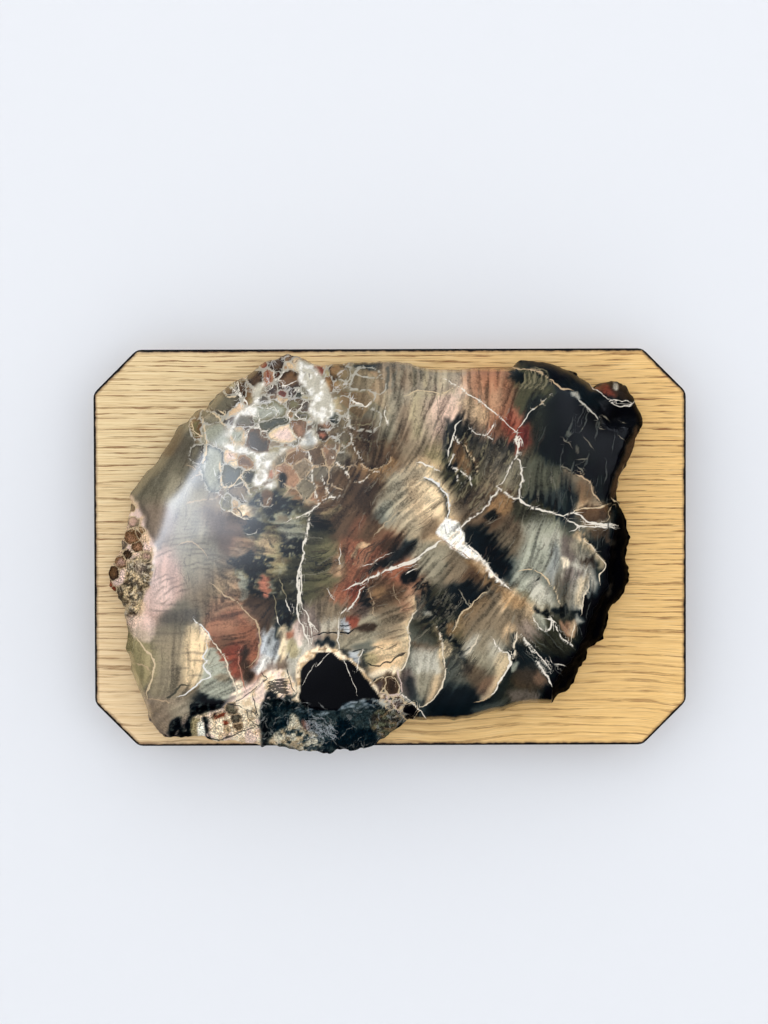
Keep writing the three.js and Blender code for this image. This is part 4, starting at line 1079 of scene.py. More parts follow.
def middle(c):
    """Olive wood with dark lines, and the rusty fan beside it."""
    c.patch("black", 2, 0.8, -39, 15, -33, 14, -31, 10, -36, 8, -39, 9)
    c.patch("straw", 1.5, 0.6, -34, 17, -26, 20, -24, 18, -32, 14)
    c.patch("olive", 4, 0.5, -42, 4, -28, 4, -28, -20, -42, -26)
    c.patch("moss", 3, 0.6, -32, 4, -24, 2, -26, -6, -34, -4)
    for z, left, right in ((-4, -42, -34), (-6.6, -41, -30), (-8, -38, -28), (-10.5, -40, -33),
            (-12.6, -38, -30), (-2, -36, -30)):
        c.stroke("black", 0.8, 0.75, [(left, z), ((left + right) / 2, z - 0.8), (right, z + 0.4)])
    c.patch("clay", 2, 0.7, -30, -6, -25, -4, -24, -12, -29, -14)
    c.patch("tan", 1.2, 0.8, -26, -5, -24, -5, -24, -13, -26, -13)
    fan = (-20, -8, -12, 0, -2, 8, 2, 4, -6, -4, -12, -14, -20, -18, -24, -12)
    c.patch("rust", 4, 0.8, fan)
    c.mottle("bark", "fine", 0.5, 0.7, fan, 0.6)
    c.mottle("clay", "broad", 0.6, 0.8, fan, 0.5)
    c.patch("rust", 3, 0.55, -20, 10, -14, 16, -12, 12, -18, 6)
    c.patch("bark", 4, 0.7, -18, 28, -8, 32, -4, 24, -8, 14, -16, 20)
    c.stroke("tan", 1.4, 0.8, -19, -8, -18.5, -4, -16, 0, -12, 2.5, -9, 4)
    c.stroke("bark", 1.0, 0.8, -16, -8, -15, -3, -12, 0, -7, 3)
    c.stroke("bark", 0.9, 0.8, -13, -8, -11, -3, -6, 1, -2, 4)
    c.patch("bark", 3, 0.7, -8, 2, -2, 6, 4, 4, 2, -2, -4, -4)
    c.patch("night", 2.5, 0.9, 0, -2, 4, 0, 8, 6, 12, 2, 8, -4, 2, -8, -4, -8)
    c.patch("black", 1.5, 0.8, -8, -8, -2, -6, 0, -9, -8, -12, -12, -13)
    c.patch("brick", 1.5, 0.8, -22, -20, -16, -17, -15, -22, -20, -26)
    c.patch("umber", 3, 0.8, -10, -16, -2, -16, 6, -18, 6, -26, -4, -28, -10, -24)
    c.patch("black", 2, 0.85, -15, -22, -11, -21, -11, -28, -15, -30)
    c.patch("black", 1.5, 0.9, 5, -14, 9, -11, 14, -12, 12, -16, 7, -18)
    c.patch("ochre", 1.5, 0.5, -7, -20, -2, -19, -4, -24, -8, -24)
    c.patch("plum", 2.5, 0.6, -20, -28, -14, -28, -12, -34, -18, -34)
    c.patch("taupe", 4, 0.7, -6, -28, 4, -28, 6, -36, -4, -38)
    c.stroke("tan", 0.8, 0.6, -11, -20, -9, -26, -9, -31, -7, -34)
    c.stroke("tan", 0.8, 0.5, 1, -18, 2, -24, 5, -28)
    c.patch("brick", 1.5, 0.9, -22, -34, -16, -34, -15, -38, -20, -38)
    c.patch("bark", 1.5, 0.9, -18, -39, -9, -37, -8, -41, -16, -41)
    c.patch("fog", 1.2, 0.9, -25, -35, -20, -37, -20, -41, -25, -41)
    c.stroke("black", 0.9, 0.9, -25, -38, -22, -38.5, -20, -38)
    c.stroke("black", 1.1, 1, -39, -43.5, -34, -42, -28, -41.5, -22, -42, -18, -40.5)
    c.patch("pearl", 2, 0.6, -34, -36, -27, -34, -27, -40, -34, -40)
    c.patch("night", 1.2, 0.95, -36, -45, -28, -44, -27, -47, -36, -47)
    c.patch("haze", 2, 0.8, -25, -43, -16, -44, -14, -48, -22, -50, -26, -47)
    c.patch("slate", 2, 0.8, -18, -48, -8, -45, -6, -50, -14, -51)
    c.patch("fog", 1.2, 0.8, -19, -51, -15, -51, -16, -57, -19, -55)
    c.patch("night", 1, 0.7, -14, -52, -11, -50, -11, -58, -14, -58)
    c.stroke("black", 0.8, 0.9, -19, -51, -15, -49.5, -12, -50)
    c.patch("straw", 1.5, 0.8, -12, -52, -7, -52, -7, -57, -12, -58)
    c.patch("sand", 2.5, 0.7, -6, -50, 4, -48, 6, -52, -4, -56)
    c.stroke("black", 1.2, 0.9, -12, -57, -6, -58, -1, -56, 4, -53, 7, -51.5)
    c.stroke("night", 0.9, 0.7, -8, -49, -2, -49.5, 3, -47)
    c.patch("cream", 1.5, 0.7, -11, -62, -5, -60, 2, -58, 4, -60, -2, -62, -8, -65)


def streaked_beige(c):
    """Pale streaked wood that leans up to the right."""
    c.patch("haze", 5, 0.7, -6, 26, 4, 36, 12, 40, 20, 38, 22, 26, 22, 12, 10, 4, 0, 12, -6, 16)
    c.patch("tan", 5, 0.8, 6, 32, 14, 34, 24, 30, 26, 20, 20, 12, 10, 16)
    c.patch("sand", 4, 0.65, 12, 30, 20, 31, 26, 24, 27, 16, 20, 14)
    c.patch("sage", 2.5, 0.6, -6, 22, 0, 22, 2, 12, -6, 14)
    c.patch("slate", 2, 0.6, -7, 19, -1, 16, -2, 12, -8, 14)
    c.patch("umber", 2.5, 0.5, 17, 14, 22, 16, 24, 10, 20, 6, 14, 4)
    c.stroke("umber", 0.7, 0.4, 0, 22, 4, 28, 8, 34)
    c.stroke("sand", 1.3, 0.5, -8, 6, 0, 14, 10, 22, 18, 26)
    c.patch("taupe", 4, 0.6, 2, 50, 8, 58, 16, 60, 16, 46, 6, 40)
    c.patch("moss", 4, 0.7, 16, 48, 26, 48, 27, 40, 20, 40)
    c.patch("umber", 3, 0.8, 4, 66, 10, 72, 12, 60, 8, 52, 2, 56)
    c.patch("straw", 2.5, 0.8, 10, 74, 16, 74, 16, 58, 12, 54, 10, 64)
    c.patch("pink", 4, 0.7, 20, 76, 32, 77, 33, 66, 28, 58, 22, 60)
    c.patch("taupe", 3, 0.5, 14, 74, 20, 75, 22, 62, 18, 54, 14, 60)
    c.stroke("smoke", 0.9, 0.5, 22, 74, 23, 66, 21, 58)
    c.edge("smoke_dark", 4, "straw", 3, 0.6, 7, 74.5, 12, 76.5, 16, 77, 20, 76, 23, 75.5, 27, 76.5,
            33, 77.5)
    c.stroke("sand", 0.9, 1, 7, 74.5, 12, 77, 17, 77, 22, 75.5, 27, 76.5, 34, 78.5)
    c.patch("umber", 3, 0.7, -6, 90, 12, 88, 12, 80, 2, 76, -4, 80)
    for x, name in ((-1.5, "black"), (1.5, "slate"), (4, "smoke"), (6, "bark"), (9, "taupe"),
            (11.5, "olive_dark"), (14, "smoke_dark"), (17, "straw"), (19, "smoke_dark"), (24, "taupe"),
            (28, "smoke_dark")):
        c.stroke(name, 1.8, 0.7, [(x + 0.6, 88.5), (x, 84), (x - 0.4, 78)])
    c.patch("taupe", 4, 0.4, 16, 87, 36, 87, 36, 79, 26, 77, 16, 78)


def rust_top(c):
    """Rusty wood at the top with upright streaks, and the red spot below it."""
    area = (37, 86, 56, 87, 60, 84, 62, 76, 58, 68, 52, 64, 44, 70, 38, 76)
    c.patch("rust", 3, 0.85, area)
    c.mottle("clay", "broad", 0.5, 0.8, area, 0.5)
    c.patch("clay", 3, 0.6, 44, 76, 54, 76, 54, 68, 48, 68)
    c.patch("tan", 3, 0.7, 34, 72, 40, 71, 46, 68, 48, 60, 42, 58, 36, 62)
    c.patch("umber", 2, 0.6, 50, 64, 54, 62, 54, 56, 50, 57)
    c.patch("brick", 3, 0.9, 54, 62, 60, 64, 68, 60, 68, 52, 64, 47, 60, 50, 56, 54)
    c.patch("wine", 2, 0.7, 62, 58, 67, 58, 67, 51, 64, 48, 62, 52)
    c.patch("coral", 2, 0.5, 58, 66, 63, 68, 66, 64, 61, 60)
    c.patch("pink", 2, 0.6, 34, 80, 38, 82, 37, 77, 33, 77)
    c.patch("olive", 4, 0.8, 60, 86, 72, 86, 80, 80, 78, 72, 70, 68, 62, 70, 60, 76)
    c.patch("black", 1, 0.9, 58, 86, 66, 85, 64, 82, 60, 83)
    c.patch("black", 1, 0.85, 57, 82.5, 63, 83.5, 66, 80.5, 62, 80.5)
    c.patch("night", 3, 0.75, 68, 72, 74, 74, 72, 66, 66, 60, 66, 66)
    for x in (64, 66.5, 69, 72, 75):
        c.stroke("straw", 0.9, 0.55, [(x + 1.5, 85.5), (x + 1, 81), (x - 1.4, 77.5)])
        c.stroke("olive_dark", 0.8, 0.7, [(x + 2.8, 85), (x + 2.2, 81), (x, 77)])
    c.stroke("sand", 0.6, 0.6, 78.5, 74.5, 74, 71, 70, 68.5)
    c.patch("cream", 9, 0.3, -10, 90, 36, 90, 40, 60, 24, 52, -6, 62)
    c.patch("tan", 5, 0.25, 38, 88, 60, 88, 56, 66, 40, 66)


def dark_right(c):
    """Blue-black wood over the right-hand end."""
    c.patch("ink", 5, 0.85, 72, 62, 84, 76, 98, 68, 108, 54, 108, 30, 98, 24, 92, 36, 84, 40, 74, 44)
    c.patch("black", 4, 0.9, 94, 70, 106, 60, 110, 40, 106, 24, 100, 30, 98, 44, 92, 56)
    c.patch("olive_dark", 4, 0.6, 70, 66, 78, 70, 80, 60, 74, 50, 70, 54)
    c.patch("olive", 3, 0.4, 73, 66, 77, 66, 76, 56, 73, 56)
    c.patch("bark", 4, 0.5, 92, 54, 100, 52, 100, 42, 90, 42)
    c.patch("slate", 3, 0.5, 64, 42, 72, 44, 80, 40, 88, 34, 88, 22, 78, 20, 66, 22, 65, 30)
    c.patch("ink", 3, 0.8, 84, 36, 92, 34, 92, 22, 86, 20, 84, 26)
    c.patch("night", 2, 0.8, 64, 25, 74, 24, 84, 20, 82, 17, 72, 20, 64, 23)
    c.patch("black", 5, 0.35, 76, 74, 106, 60, 104, 30, 92, 40, 76, 42)
    c.edge("black", 3, "taupe", 9, 0.9, 84, 39.5, 90, 36, 95, 34, 98, 31, 100, 26, 102.5, 21.5)
    c.patch("brown", 3, 0.7, 92, 33, 97, 31, 99, 24, 94, 22, 91, 26)
    c.stroke("tan", 0.8, 1, 91, 35.5, 95, 34, 98, 31, 100, 26, 102.5, 21.5)
    c.patch("bark", 2, 0.9, 94, 20, 104, 20, 107, 16, 100, 13, 92, 16)
    c.edge(None, 1, "brown", 6, 0.9, 91, 17.5, 96, 19.5, 101, 19.5, 106.5, 21)
    c.stroke("sand", 0.8, 1, 90, 17.5, 94, 19, 98, 19.5, 102, 19.5, 106.5, 21)
    c.stroke("sand", 0.7, 0.6, 108, 20, 106.5, 17, 107.5, 15, 105.5, 13)
    for points, width in (((86, 54.5, 88, 55.5, 87, 56.5), 1.6), ((93, 58.5, 94, 59), 1.3),
            ((84, 53, 86, 51.5, 88, 49.5), 1.0), ((102, 58, 103.5, 58), 1.0),
            ((95, 53.5, 97, 51.5, 98.5, 49), 0.8), ((92, 43, 96, 43.5), 0.7),
            ((84, 39.5, 88, 37.5, 90, 36.5), 0.7), ((112, 54.5, 114, 53), 0.7), ((90, 49, 91.5, 46), 1.6),
            ((113, 61.5, 114, 61), 0.9), ((92, 39, 94, 37), 1.2), ((104, 64.5, 106, 63), 1.2)):
        c.stroke("haze", width, 0.6, points)
    c.stroke("tan", 1.1, 1, 59, 88, 64, 87.5, 69, 87, 73, 85.5, 77, 83, 80.5, 80.5, 84, 78, 88, 77)
    c.stroke("straw", 0.8, 0.6, 70, 88.5, 74, 87, 77, 86)
    c.patch("pearl", 0.8, 0.9, 88, 76.5, 91, 75.5, 92.5, 73, 89.5, 73.5)
    c.stroke("pearl", 1.0, 1, 92, 72.5, 95, 69.5, 98, 66.5, 101.5, 63)


def knob(c):
    """Broken red-brown knob at the upper right."""
    c.patch("brick", 1.2, 0.95, 100, 78, 104, 80, 108, 79, 111, 75, 106, 74)
    c.patch("bark", 1.5, 0.9, 106, 82, 114, 80, 119, 74, 116, 72, 110, 74)
    c.patch("pearl", 0.6, 0.8, 109, 81, 111.5, 80.5, 111, 77.5, 109, 78)


def side_facets(c):
    """Brown broken side of the right-hand end, and the bark round it."""
    c.patch("black", 3, 1, 109, 12, 114, 16, 119, 4, 117, -8, 119, -14, 114, -26, 108, -34, 106, -46,
            96, -56, 88, -70, 80, -77, 74, -72, 84, -58, 92, -46, 98, -34, 102, -20, 106, -6)
    c.patch("umber", 1.5, 0.9, 107, 24, 109, 34, 113, 44, 117, 54, 121, 60, 121, 52, 116, 42, 112, 32,
            111, 25)
    c.patch("sand", 0.6, 0.8, 111, 27, 111.5, 33, 114, 40.5, 112.5, 34, 112, 28)
    c.stroke("sand", 0.7, 0.8, 108.5, 24, 111, 21.5, 113, 19)
    for points in ((101, 60, 104, 62), (108, -18, 106, -24), (106, 4, 110, 2)):
        c.stroke("umber", 2.0, 0.5, points)


def quartz(c):
    """White quartz pocket where the veins meet."""
    pocket = (27, 15, 29.5, 13.5, 32, 13.5, 34, 10.5, 35.5, 8, 36, 5, 36, 2.5, 38, 0.5, 41, -2, 44, -5,
            47, -8.5, 50, -12, 53, -15.5, 56, -18.5, 53, -17.5, 48, -13.5, 44, -9.5, 41, -6.5, 37, -4.5,
            33, -2, 29, 0, 27, 3, 24, 5, 22, 7.5, 24, 10.5, 26, 13)
    c.patch("white", 0.5, 1, pocket)
    c.mottle("ivory", 2.0, 0.4, 0.6, pocket, 0.8, 0.5, 1)
    c.mottle("tan", 2.4, 0.62, 0.78, pocket, 0.5, 0.5, 2)
    c.line("ivory", 0.7, (36, 2.5, 41, -2, 47, -8.5, 53, -15.5, 58, -20.5))
    c.stroke("clay", 0.7, 0.8, 25, 4, 28, 1.5, 31, -0.5, 35, -3, 39, -5.5)
    c.stroke("umber", 0.6, 0.5, 26.5, 11, 27, 8, 28.5, 5.5)
    c.patch("ochre", 2, 0.6, 36, -5, 43, -7, 47, -12, 53, -18, 60, -24, 66, -28, 62, -31, 54, -25,
            47, -18, 41, -12)
    c.patch("tan", 1.5, 0.8, 40, -7, 44, -9, 46, -13, 43, -12)
    c.patch("cream", 5, 0.2, 2, 38, 22, 38, 24, 16, 4, 14)


def middle_right(c):
    """Dark cleft and pale green-grey wood right of the quartz."""
    c.patch("ink", 4, 0.8, 37, 8, 44, 4, 46, -4, 54, -12, 58, -20, 60, -16, 60, -4, 52, 4, 44, 12)
    c.patch("umber", 4, 0.6, 48, 14, 60, 16, 66, 6, 62, -4, 52, 2)
    c.patch("smoke", 4, 0.4, 52, 8, 60, 6, 60, -2, 54, 0)
    c.patch("ochre", 2, 0.7, 49, 22, 54, 27, 59, 24, 59, 18, 54, 16, 50, 18)
    c.patch("black", 1, 0.8, 46, 15, 50, 18, 52, 15, 49, 13)
    c.patch("olive_dark", 2.5, 0.8, 60, 22, 70, 18, 78, 15, 76, 10, 66, 12, 60, 14)
    c.patch("haze", 4, 0.3, 34, 16, 44, 14, 48, 18, 40, 20, 34, 20)
    c.patch("smoke_dark", 3, 0.5, 30, 22, 40, 30, 46, 28, 40, 20, 31, 16)
    c.patch("sage", 5, 0.8, 66, 12, 82, 14, 84, 4, 80, -6, 70, -12, 62, -8, 64, 2)
    c.patch("pearl", 4, 0.5, 74, 6, 84, 8, 84, 2, 76, 0)
    c.patch("steel", 3, 0.8, 79, 0, 83, -2, 82, -12, 80, -18, 77, -12)
    c.patch("sage", 4, 0.7, 60, -12, 70, -10, 78, -18, 82, -28, 72, -28, 62, -22)
    c.patch("pearl", 3, 0.7, 70, -14, 76, -17, 80, -25, 74, -27, 68, -22)
    c.patch("olive", 2, 0.4, 63, -20, 69, -24, 66, -27, 62, -23)
    c.stroke("black", 1.2, 0.9, 71, -16, 72.5, -14.5)
    c.edge("slate", 4, None, 1, 0.7, 82.5, -27, 80.5, -21, 77, -16, 72.5, -12, 68, -10.5, 63, -11.5)
    c.stroke("sand", 0.9, 1, 82.5, -27.5, 80.5, -21, 77, -16, 72.5, -12, 68, -10.5, 63, -11.5)
    c.patch("black", 1, 0.9, 70.5, -28, 74, -30.5, 77, -31, 77.5, -34, 74, -33.5, 71.5, -31)
    c.patch("black", 0.9, 0.8, 79, -29, 84, -29.5, 86, -27.5, 87, -32, 82, -33, 79, -31)
    c.patch("sage", 1.2, 0.8, 70, -31, 75, -35, 77, -41, 73, -39, 70, -35)
    c.patch("taupe", 3, 0.5, 56, -30, 66, -30, 70, -36, 66, -42, 58, -38)
    c.patch("mauve", 3, 0.7, 62, -37, 70, -38, 73, -44, 66, -45)


def right_lobes(c):
    """Shell-like pale lobes with bright rims along the right-hand bark."""
    c.patch("plum", 2.5, 0.7, 84, 6, 90, 6, 91, -2, 88, -8, 84, -4)
    c.patch("tan", 2, 0.8, 90, 8, 95, 6, 96, 2, 92, 4)
    c.patch("haze", 3, 0.7, 88, 4, 96, 3, 101, -4, 103, -9, 98, -6, 90, -4)
    c.edge("black", 2.5, "sand", 4, 0.9, 92.5, 5, 95.5, 3, 99, 0, 101, -3.5, 104, -6, 104.5, -9,
            104, -11.5)
    c.stroke("cream", 0.7, 1, 95, 3.5, 99, 0, 101, -3.5, 104, -6, 105, -9, 103.5, -12)
    c.patch("bark", 2, 0.8, 92, -6, 98, -7, 99, -10, 94, -10)
    c.stroke("cream", 0.9, 1, 103.5, -12, 102, -13.5, 102, -16.5)
    c.patch("cream", 1.2, 0.9, 83, -4, 87, -5, 87, -9, 86, -9, 85, -12, 84, -8)
    c.patch("plum", 3, 0.7, 86, -10, 92, -12, 94, -15, 88, -18, 84, -20)
    c.patch("smoke_dark", 3, 0.6, 84, -14, 90, -18, 88, -28, 84, -26, 82, -20)
    c.edge("black", 2.5, "pearl", 9, 0.9, 97, -13.5, 96.5, -17.5, 96.5, -21, 94.5, -23, 94, -28,
            93.5, -32)
    c.patch("sand", 2, 0.6, 92, -16, 96, -17, 94, -24, 93, -30, 90, -26)
    c.stroke("cream", 0.8, 1, 97.5, -13, 97, -17.5, 96.5, -21, 95, -23, 94, -28, 93.5, -32)
    c.patch("pearl", 1.2, 0.7, 91, -33, 95, -36, 92, -38, 90, -37)
    c.patch("clay", 1.5, 0.85, 84, -36, 90, -37, 89, -44, 87, -45, 84, -40)
    c.patch("sand", 1.2, 0.6, 87, -37, 90, -37, 89, -44, 87, -42)
    c.stroke("cream", 0.7, 1, 90, -37, 89.5, -40, 88.5, -45)
    c.patch("umber", 2, 0.7, 97, 9, 107, 9, 106, 3, 99, 5)


def low_lobes(c):
    """Pale lobes along the bottom, each fading from a bright rim."""
    c.patch("taupe", 3, 0.6, -4, -30, 6, -32, 8, -42, 2, -46, -6, -42)
    c.edge("slate", 6, "sand", 5, 0.9, 10.5, -22, 12.5, -30, 9.5, -35, 8.5, -40, 9, -47, 8.5, -53,
            6.5, -58)
    c.stroke("cream", 0.9, 1, 12.5, -30.5, 9.5, -35, 8.5, -40, 9, -47, 8.5, -53, 6.5, -58, 3.5, -60.5)
    c.patch("olive_dark", 3, 0.8, 10, -34, 16, -36, 22, -42, 22, -48, 12, -44)
    c.patch("slate", 3, 0.5, 10, -38, 16, -42, 22, -48, 14, -50)
    c.patch("umber", 2, 0.6, 10, -46, 20, -48, 24, -46, 22, -51, 12, -51)
    c.patch("pearl", 4, 0.85, 10, -52, 24, -50, 25, -58, 25, -65, 14, -64)
    c.patch("haze", 3, 0.8, 12, -62, 24, -62, 24, -70, 16, -74, 12, -70)
    c.patch("tan", 2.5, 0.7, 22, -62, 26, -64, 23, -71, 18, -76, 18, -72)
    c.edge("night", 10, "tan", 3, 0.6, 20.5, -36, 23.5, -41, 25, -47, 25, -53, 26, -58, 26, -65, 24, -70,
            20, -75, 14.5, -78.5)
    c.stroke("cream", 0.9, 1, 21, -36.5, 23.5, -41, 25, -47, 25, -53, 26, -58, 26, -65, 24, -70, 20, -75,
            14.5, -78.5)
    c.patch("plum", 3, 0.85, 4, -62, 10, -60, 12, -72, 8, -74, 4, -68)
    c.patch("night", 2, 0.6, 6, -66, 10, -64, 14, -76, 10, -76)
    c.patch("bark", 2, 0.8, -3, -63, 2, -62, 4, -70, -1, -70)
    c.patch("black", 1.5, 0.9, -9, -65, -4, -64, -3, -69, -7, -69)
    c.patch("sand", 1.2, 0.8, 24, -49, 28, -45, 30, -50, 28, -54, 25, -55)
    c.patch("slate", 5, 0.6, 28, -54, 38, -56, 40, -66, 32, -74, 26, -68)
    c.patch("night", 4, 0.85, 26, -70, 40, -68, 46, -76, 30, -82, 20, -80)
    c.patch("umber", 4, 0.6, 38, -56, 46, -60, 48, -68, 42, -70, 36, -62)
    c.patch("taupe", 5, 0.5, 40, -34, 56, -34, 58, -44, 46, -50, 36, -44)
    c.patch("pearl", 3, 0.9, 38, -46, 43, -43, 40, -49, 37, -53, 35, -52)
    c.stroke("cream", 0.8, 0.8, 42.5, -43, 40, -48.5, 37.5, -52.5)
    c.patch("pearl", 4, 0.6, 48, -46, 53, -46, 57, -52, 56, -60, 50, -56)
    c.patch("sand", 2.5, 0.75, 52, -52, 58, -56, 55, -64, 50, -70, 50, -62)
    c.patch("clay", 3, 0.5, 46, -64, 52, -64, 50, -72, 44, -74, 42, -70)
    c.edge("ink", 6, "sand", 4, 0.7, 54, -50.5, 57.5, -52.5, 58.5, -57, 56, -61.5, 53, -66.5, 49, -73,
            42, -75.5)
    c.stroke("ivory", 1.0, 1, 50, -45, 54, -50.5, 57.5, -52.5, 58.5, -57, 56, -61.5, 53, -66.5,
            49.5, -72.5)
    c.stroke("tan", 0.8, 1, 49, -73, 45.5, -74.5, 42, -75.5)
    c.patch("tan", 2, 0.8, 56, -38, 61, -39, 61, -46, 60, -52, 56, -46)
    c.edge("night", 5, None, 1, 0.9, 60, -54, 60.5, -50, 61, -46, 61.5, -41.5)
    c.stroke("cream", 0.9, 1, 62, -41, 61, -46, 60.5, -50, 60, -53.5)
    c.patch("night", 4, 0.85, 62, -46, 72, -50, 80, -58, 80, -70, 66, -66, 60, -58)
    c.patch("umber", 3, 0.6, 62, -60, 74, -60, 78, -68, 70, -70, 60, -68)
    c.patch("clay", 1.5, 0.4, 72, -62, 78, -66, 77, -69, 70, -66)
    c.patch("sage", 0.7, 0.8, 59.5, -57.5, 62.5, -56.5, 61.5, -60.5, 59.5, -60.5)
    c.patch("mauve", 2.5, 0.6, 57, -71, 66, -70, 74, -72, 70, -76, 60, -76)
    c.patch("slate", 2.5, 0.7, 40, -79, 50, -76, 57, -75, 55, -79, 44, -81)
    c.patch("black", 1.5, 0.9, 6, -77, 11, -78, 14, -83, 7, -84)
    c.edge("ochre", 7, "black", 4, 0.6, 47, -21, 43, -25, 39, -28.5, 35, -31.5, 32.5, -36, 31.5, -40,
            29, -43)
    c.stroke("sand", 0.8, 0.9, 47, -21, 43, -25, 39, -28.5, 35, -31.5, 32.5, -36, 31.5, -40, 29, -43)
    c.stroke("haze", 0.7, 0.8, 34, -22, 36.5, -25.5, 38.5, -28.5)
    c.patch("ochre", 1.5, 0.8, 27, -38, 31, -37, 31, -41, 28, -43)


def dark_streaks(c):
    """Ink-dark streaks in the wood between the knot and the quartz."""
    for points in ((12, -18, 16, -22, 14, -28), (14, -17, 19, -20, 18, -25), (18, -28, 24, -23),
            (17, -32, 24, -26, 28, -22), (21, -33, 28, -27), (24, -35, 30, -30, 33, -26),
            (12, -38, 18, -35, 22, -33), (13, -42, 20, -37), (24, -40, 28, -36), (30, -44, 27, -40),
            (32, -47, 28, -43), (34, -50, 31, -46), (36, -54, 33, -50), (38, -58, 36, -54),
            (40, -62, 38, -58)):
        c.stroke("black", 1.8, 0.7, points)
    c.flecks("black", 90, 6, 0.6, (10, -16, 16, -18, 30, -40, 42, -60, 36, -64, 24, -48, 12, -30), 0.75,
            48, 21)
    c.flecks("black", 40, 7, 0.6, (12, -18, 28, -22, 34, -28, 28, -42, 18, -36), 0.6, 50, 22)
    c.flecks("haze", 30, 5, 0.5, (12, -18, 28, -22, 34, -28, 28, -42, 18, -36), 0.35, 50, 23)
    c.patch("pearl", 0.7, 0.8, 16, -31, 19, -31, 20, -33, 17, -33)


def centre_right_top(c):
    """Tangle of dark and brown wood in the middle of the upper right."""
    c.patch("black", 2.5, 0.8, 27, 62, 34, 64, 38, 58, 44, 54, 52, 52, 60, 50, 60, 46, 50, 48, 40, 50,
            34, 52, 29, 46, 26, 42, 26, 50)
    c.patch("smoke_dark", 3, 0.6, 36, 60, 50, 56, 60, 50, 58, 40, 48, 34, 40, 38, 38, 48)
    c.patch("brown", 2, 0.9, 31, 54, 36, 50, 40, 43, 42, 38, 38, 36, 31, 40, 30, 48)
    c.patch("ochre", 2, 0.7, 35, 50, 39, 46, 42, 40, 38, 40, 34, 46)
    c.edge("black", 3, None, 1, 0.9, 42.5, 35.5, 41, 40, 40.5, 43, 38, 46.5, 36, 50.5, 35, 54.5)
    c.stroke("sand", 1.2, 0.9, 43, 35.5, 41, 43, 38, 46.5, 36.5, 49.5)
    c.stroke("ivory", 0.9, 0.9, 31, 53.5, 32.5, 52, 34, 51)
    c.patch("taupe", 2.5, 0.6, 44, 34, 52, 40, 54, 34, 50, 28, 44, 28)
    c.patch("haze", 2.5, 0.55, 56, 36, 62, 42, 63, 34, 60, 28, 55, 31)
    c.patch("olive_dark", 3, 0.8, 20, 37, 28, 39, 34, 36, 38, 30, 32, 24, 28, 24, 26, 30)
    c.patch("black", 1.2, 0.8, 28, 42, 32, 40, 31, 37, 27, 39)
    for x, z in ((42, 44), (45, 46), (48, 38), (52, 40), (56, 44), (58, 46), (46, 32), (50, 34), (34, 28),
            (37, 24), (41, 26), (44, 24)):
        c.stroke("black", 1.3, 0.55, [(x - 1.4, z - 3), (x + 1.4, z + 3)])
    for x, z in ((44, 42), (50, 42), (54, 38), (36, 27), (40, 22), (47, 30), (60, 36), (33, 24)):
        c.stroke("straw", 0.9, 0.45, [(x - 1.2, z - 2.6), (x + 1.2, z + 2.6)])
    c.patch("taupe", 3, 0.5, 40, 26, 46, 30, 48, 22, 42, 18)
    c.edge("black", 2.5, "sand", 6, 0.85, 28.5, 14, 28, 20, 27, 25.5, 24.5, 29, 22.5, 31.5, 19, 33.5,
            15, 35)
    c.stroke("white", 1.3, 1, 28, 15, 28.5, 20, 27.5, 25.5, 25, 28.5, 22.5, 31.5, 19, 33.5, 15.5, 34.5)
    c.edge(None, 1, "tan", 5, 0.7, 25, 37, 20, 39.5, 13, 42)
    c.stroke("ivory", 0.8, 1, 23.5, 37.5, 20, 39.5, 15.5, 41, 12.5, 42)


def scratches(c):
    """Fine dark and pale dashes along the grain, over most of the face."""
    upper = (22, 66, 44, 60, 62, 50, 64, 26, 40, 14, 30, 22, 22, 44)
    c.flecks("black", 70, 6, 0.5, upper, 0.7, "grain", 31)
    c.flecks("straw", 50, 5, 0.45, upper, 0.6, "grain", 32)
    wide = (-20, 60, 20, 84, 60, 84, 90, 30, 84, -20, 60, -70, 0, -56, -40, -30, -40, 20)
    c.flecks("bark", 190, 7, 0.45, wide, 0.6, "grain", 33)
    c.flecks("haze", 130, 7, 0.4, wide, 0.5, "grain", 34)
    c.flecks("bark", 60, 6, 0.4, (-118, -20, -100, 50, -70, 10, -64, -50, -110, -70), 0.5, "grain", 35)
    ends = (70, 60, 90, 74, 110, 50, 108, 10, 100, -30, 80, -66, 60, -50, 88, 0)
    c.flecks("slate", 60, 6, 0.5, ends, 0.6, "grain", 36)
    c.flecks("olive", 14, 9, 3.0, ends, 0.25, "grain", 37)


def knot(c):
    """Black knot with a cream ring round it."""
    ring = (-45.5, -72, -46.5, -64, -45.5, -57, -43, -52.5, -38, -49, -32, -48, -27, -49, -22.5, -52.5,
            -16.5, -57.5, -13, -61.5, -9, -66.5, -6, -71, -6, -74, -46, -75)
    c.patch("tan", 0.8, 1, ring)
    c.mottle("cream", 2.4, 0.36, 0.55, ring, 0.85, 0.8, 1)
    c.mottle("brown", 1.6, 0.6, 0.75, ring, 0.6, 0.8, 2)
    c.wipe(ring)
    c.patch("black", 0.5, 1, -44.5, -71, -44, -63, -43.5, -59, -41, -56, -38, -54, -36, -51.5, -33, -51,
            -29.5, -51, -27, -52.5, -24, -55, -20.5, -56, -17, -59, -14, -62.5, -10.5, -66.5, -8, -70,
            -5, -74, -12, -74.5, -23, -76, -27, -80, -40, -79, -44.5, -74)


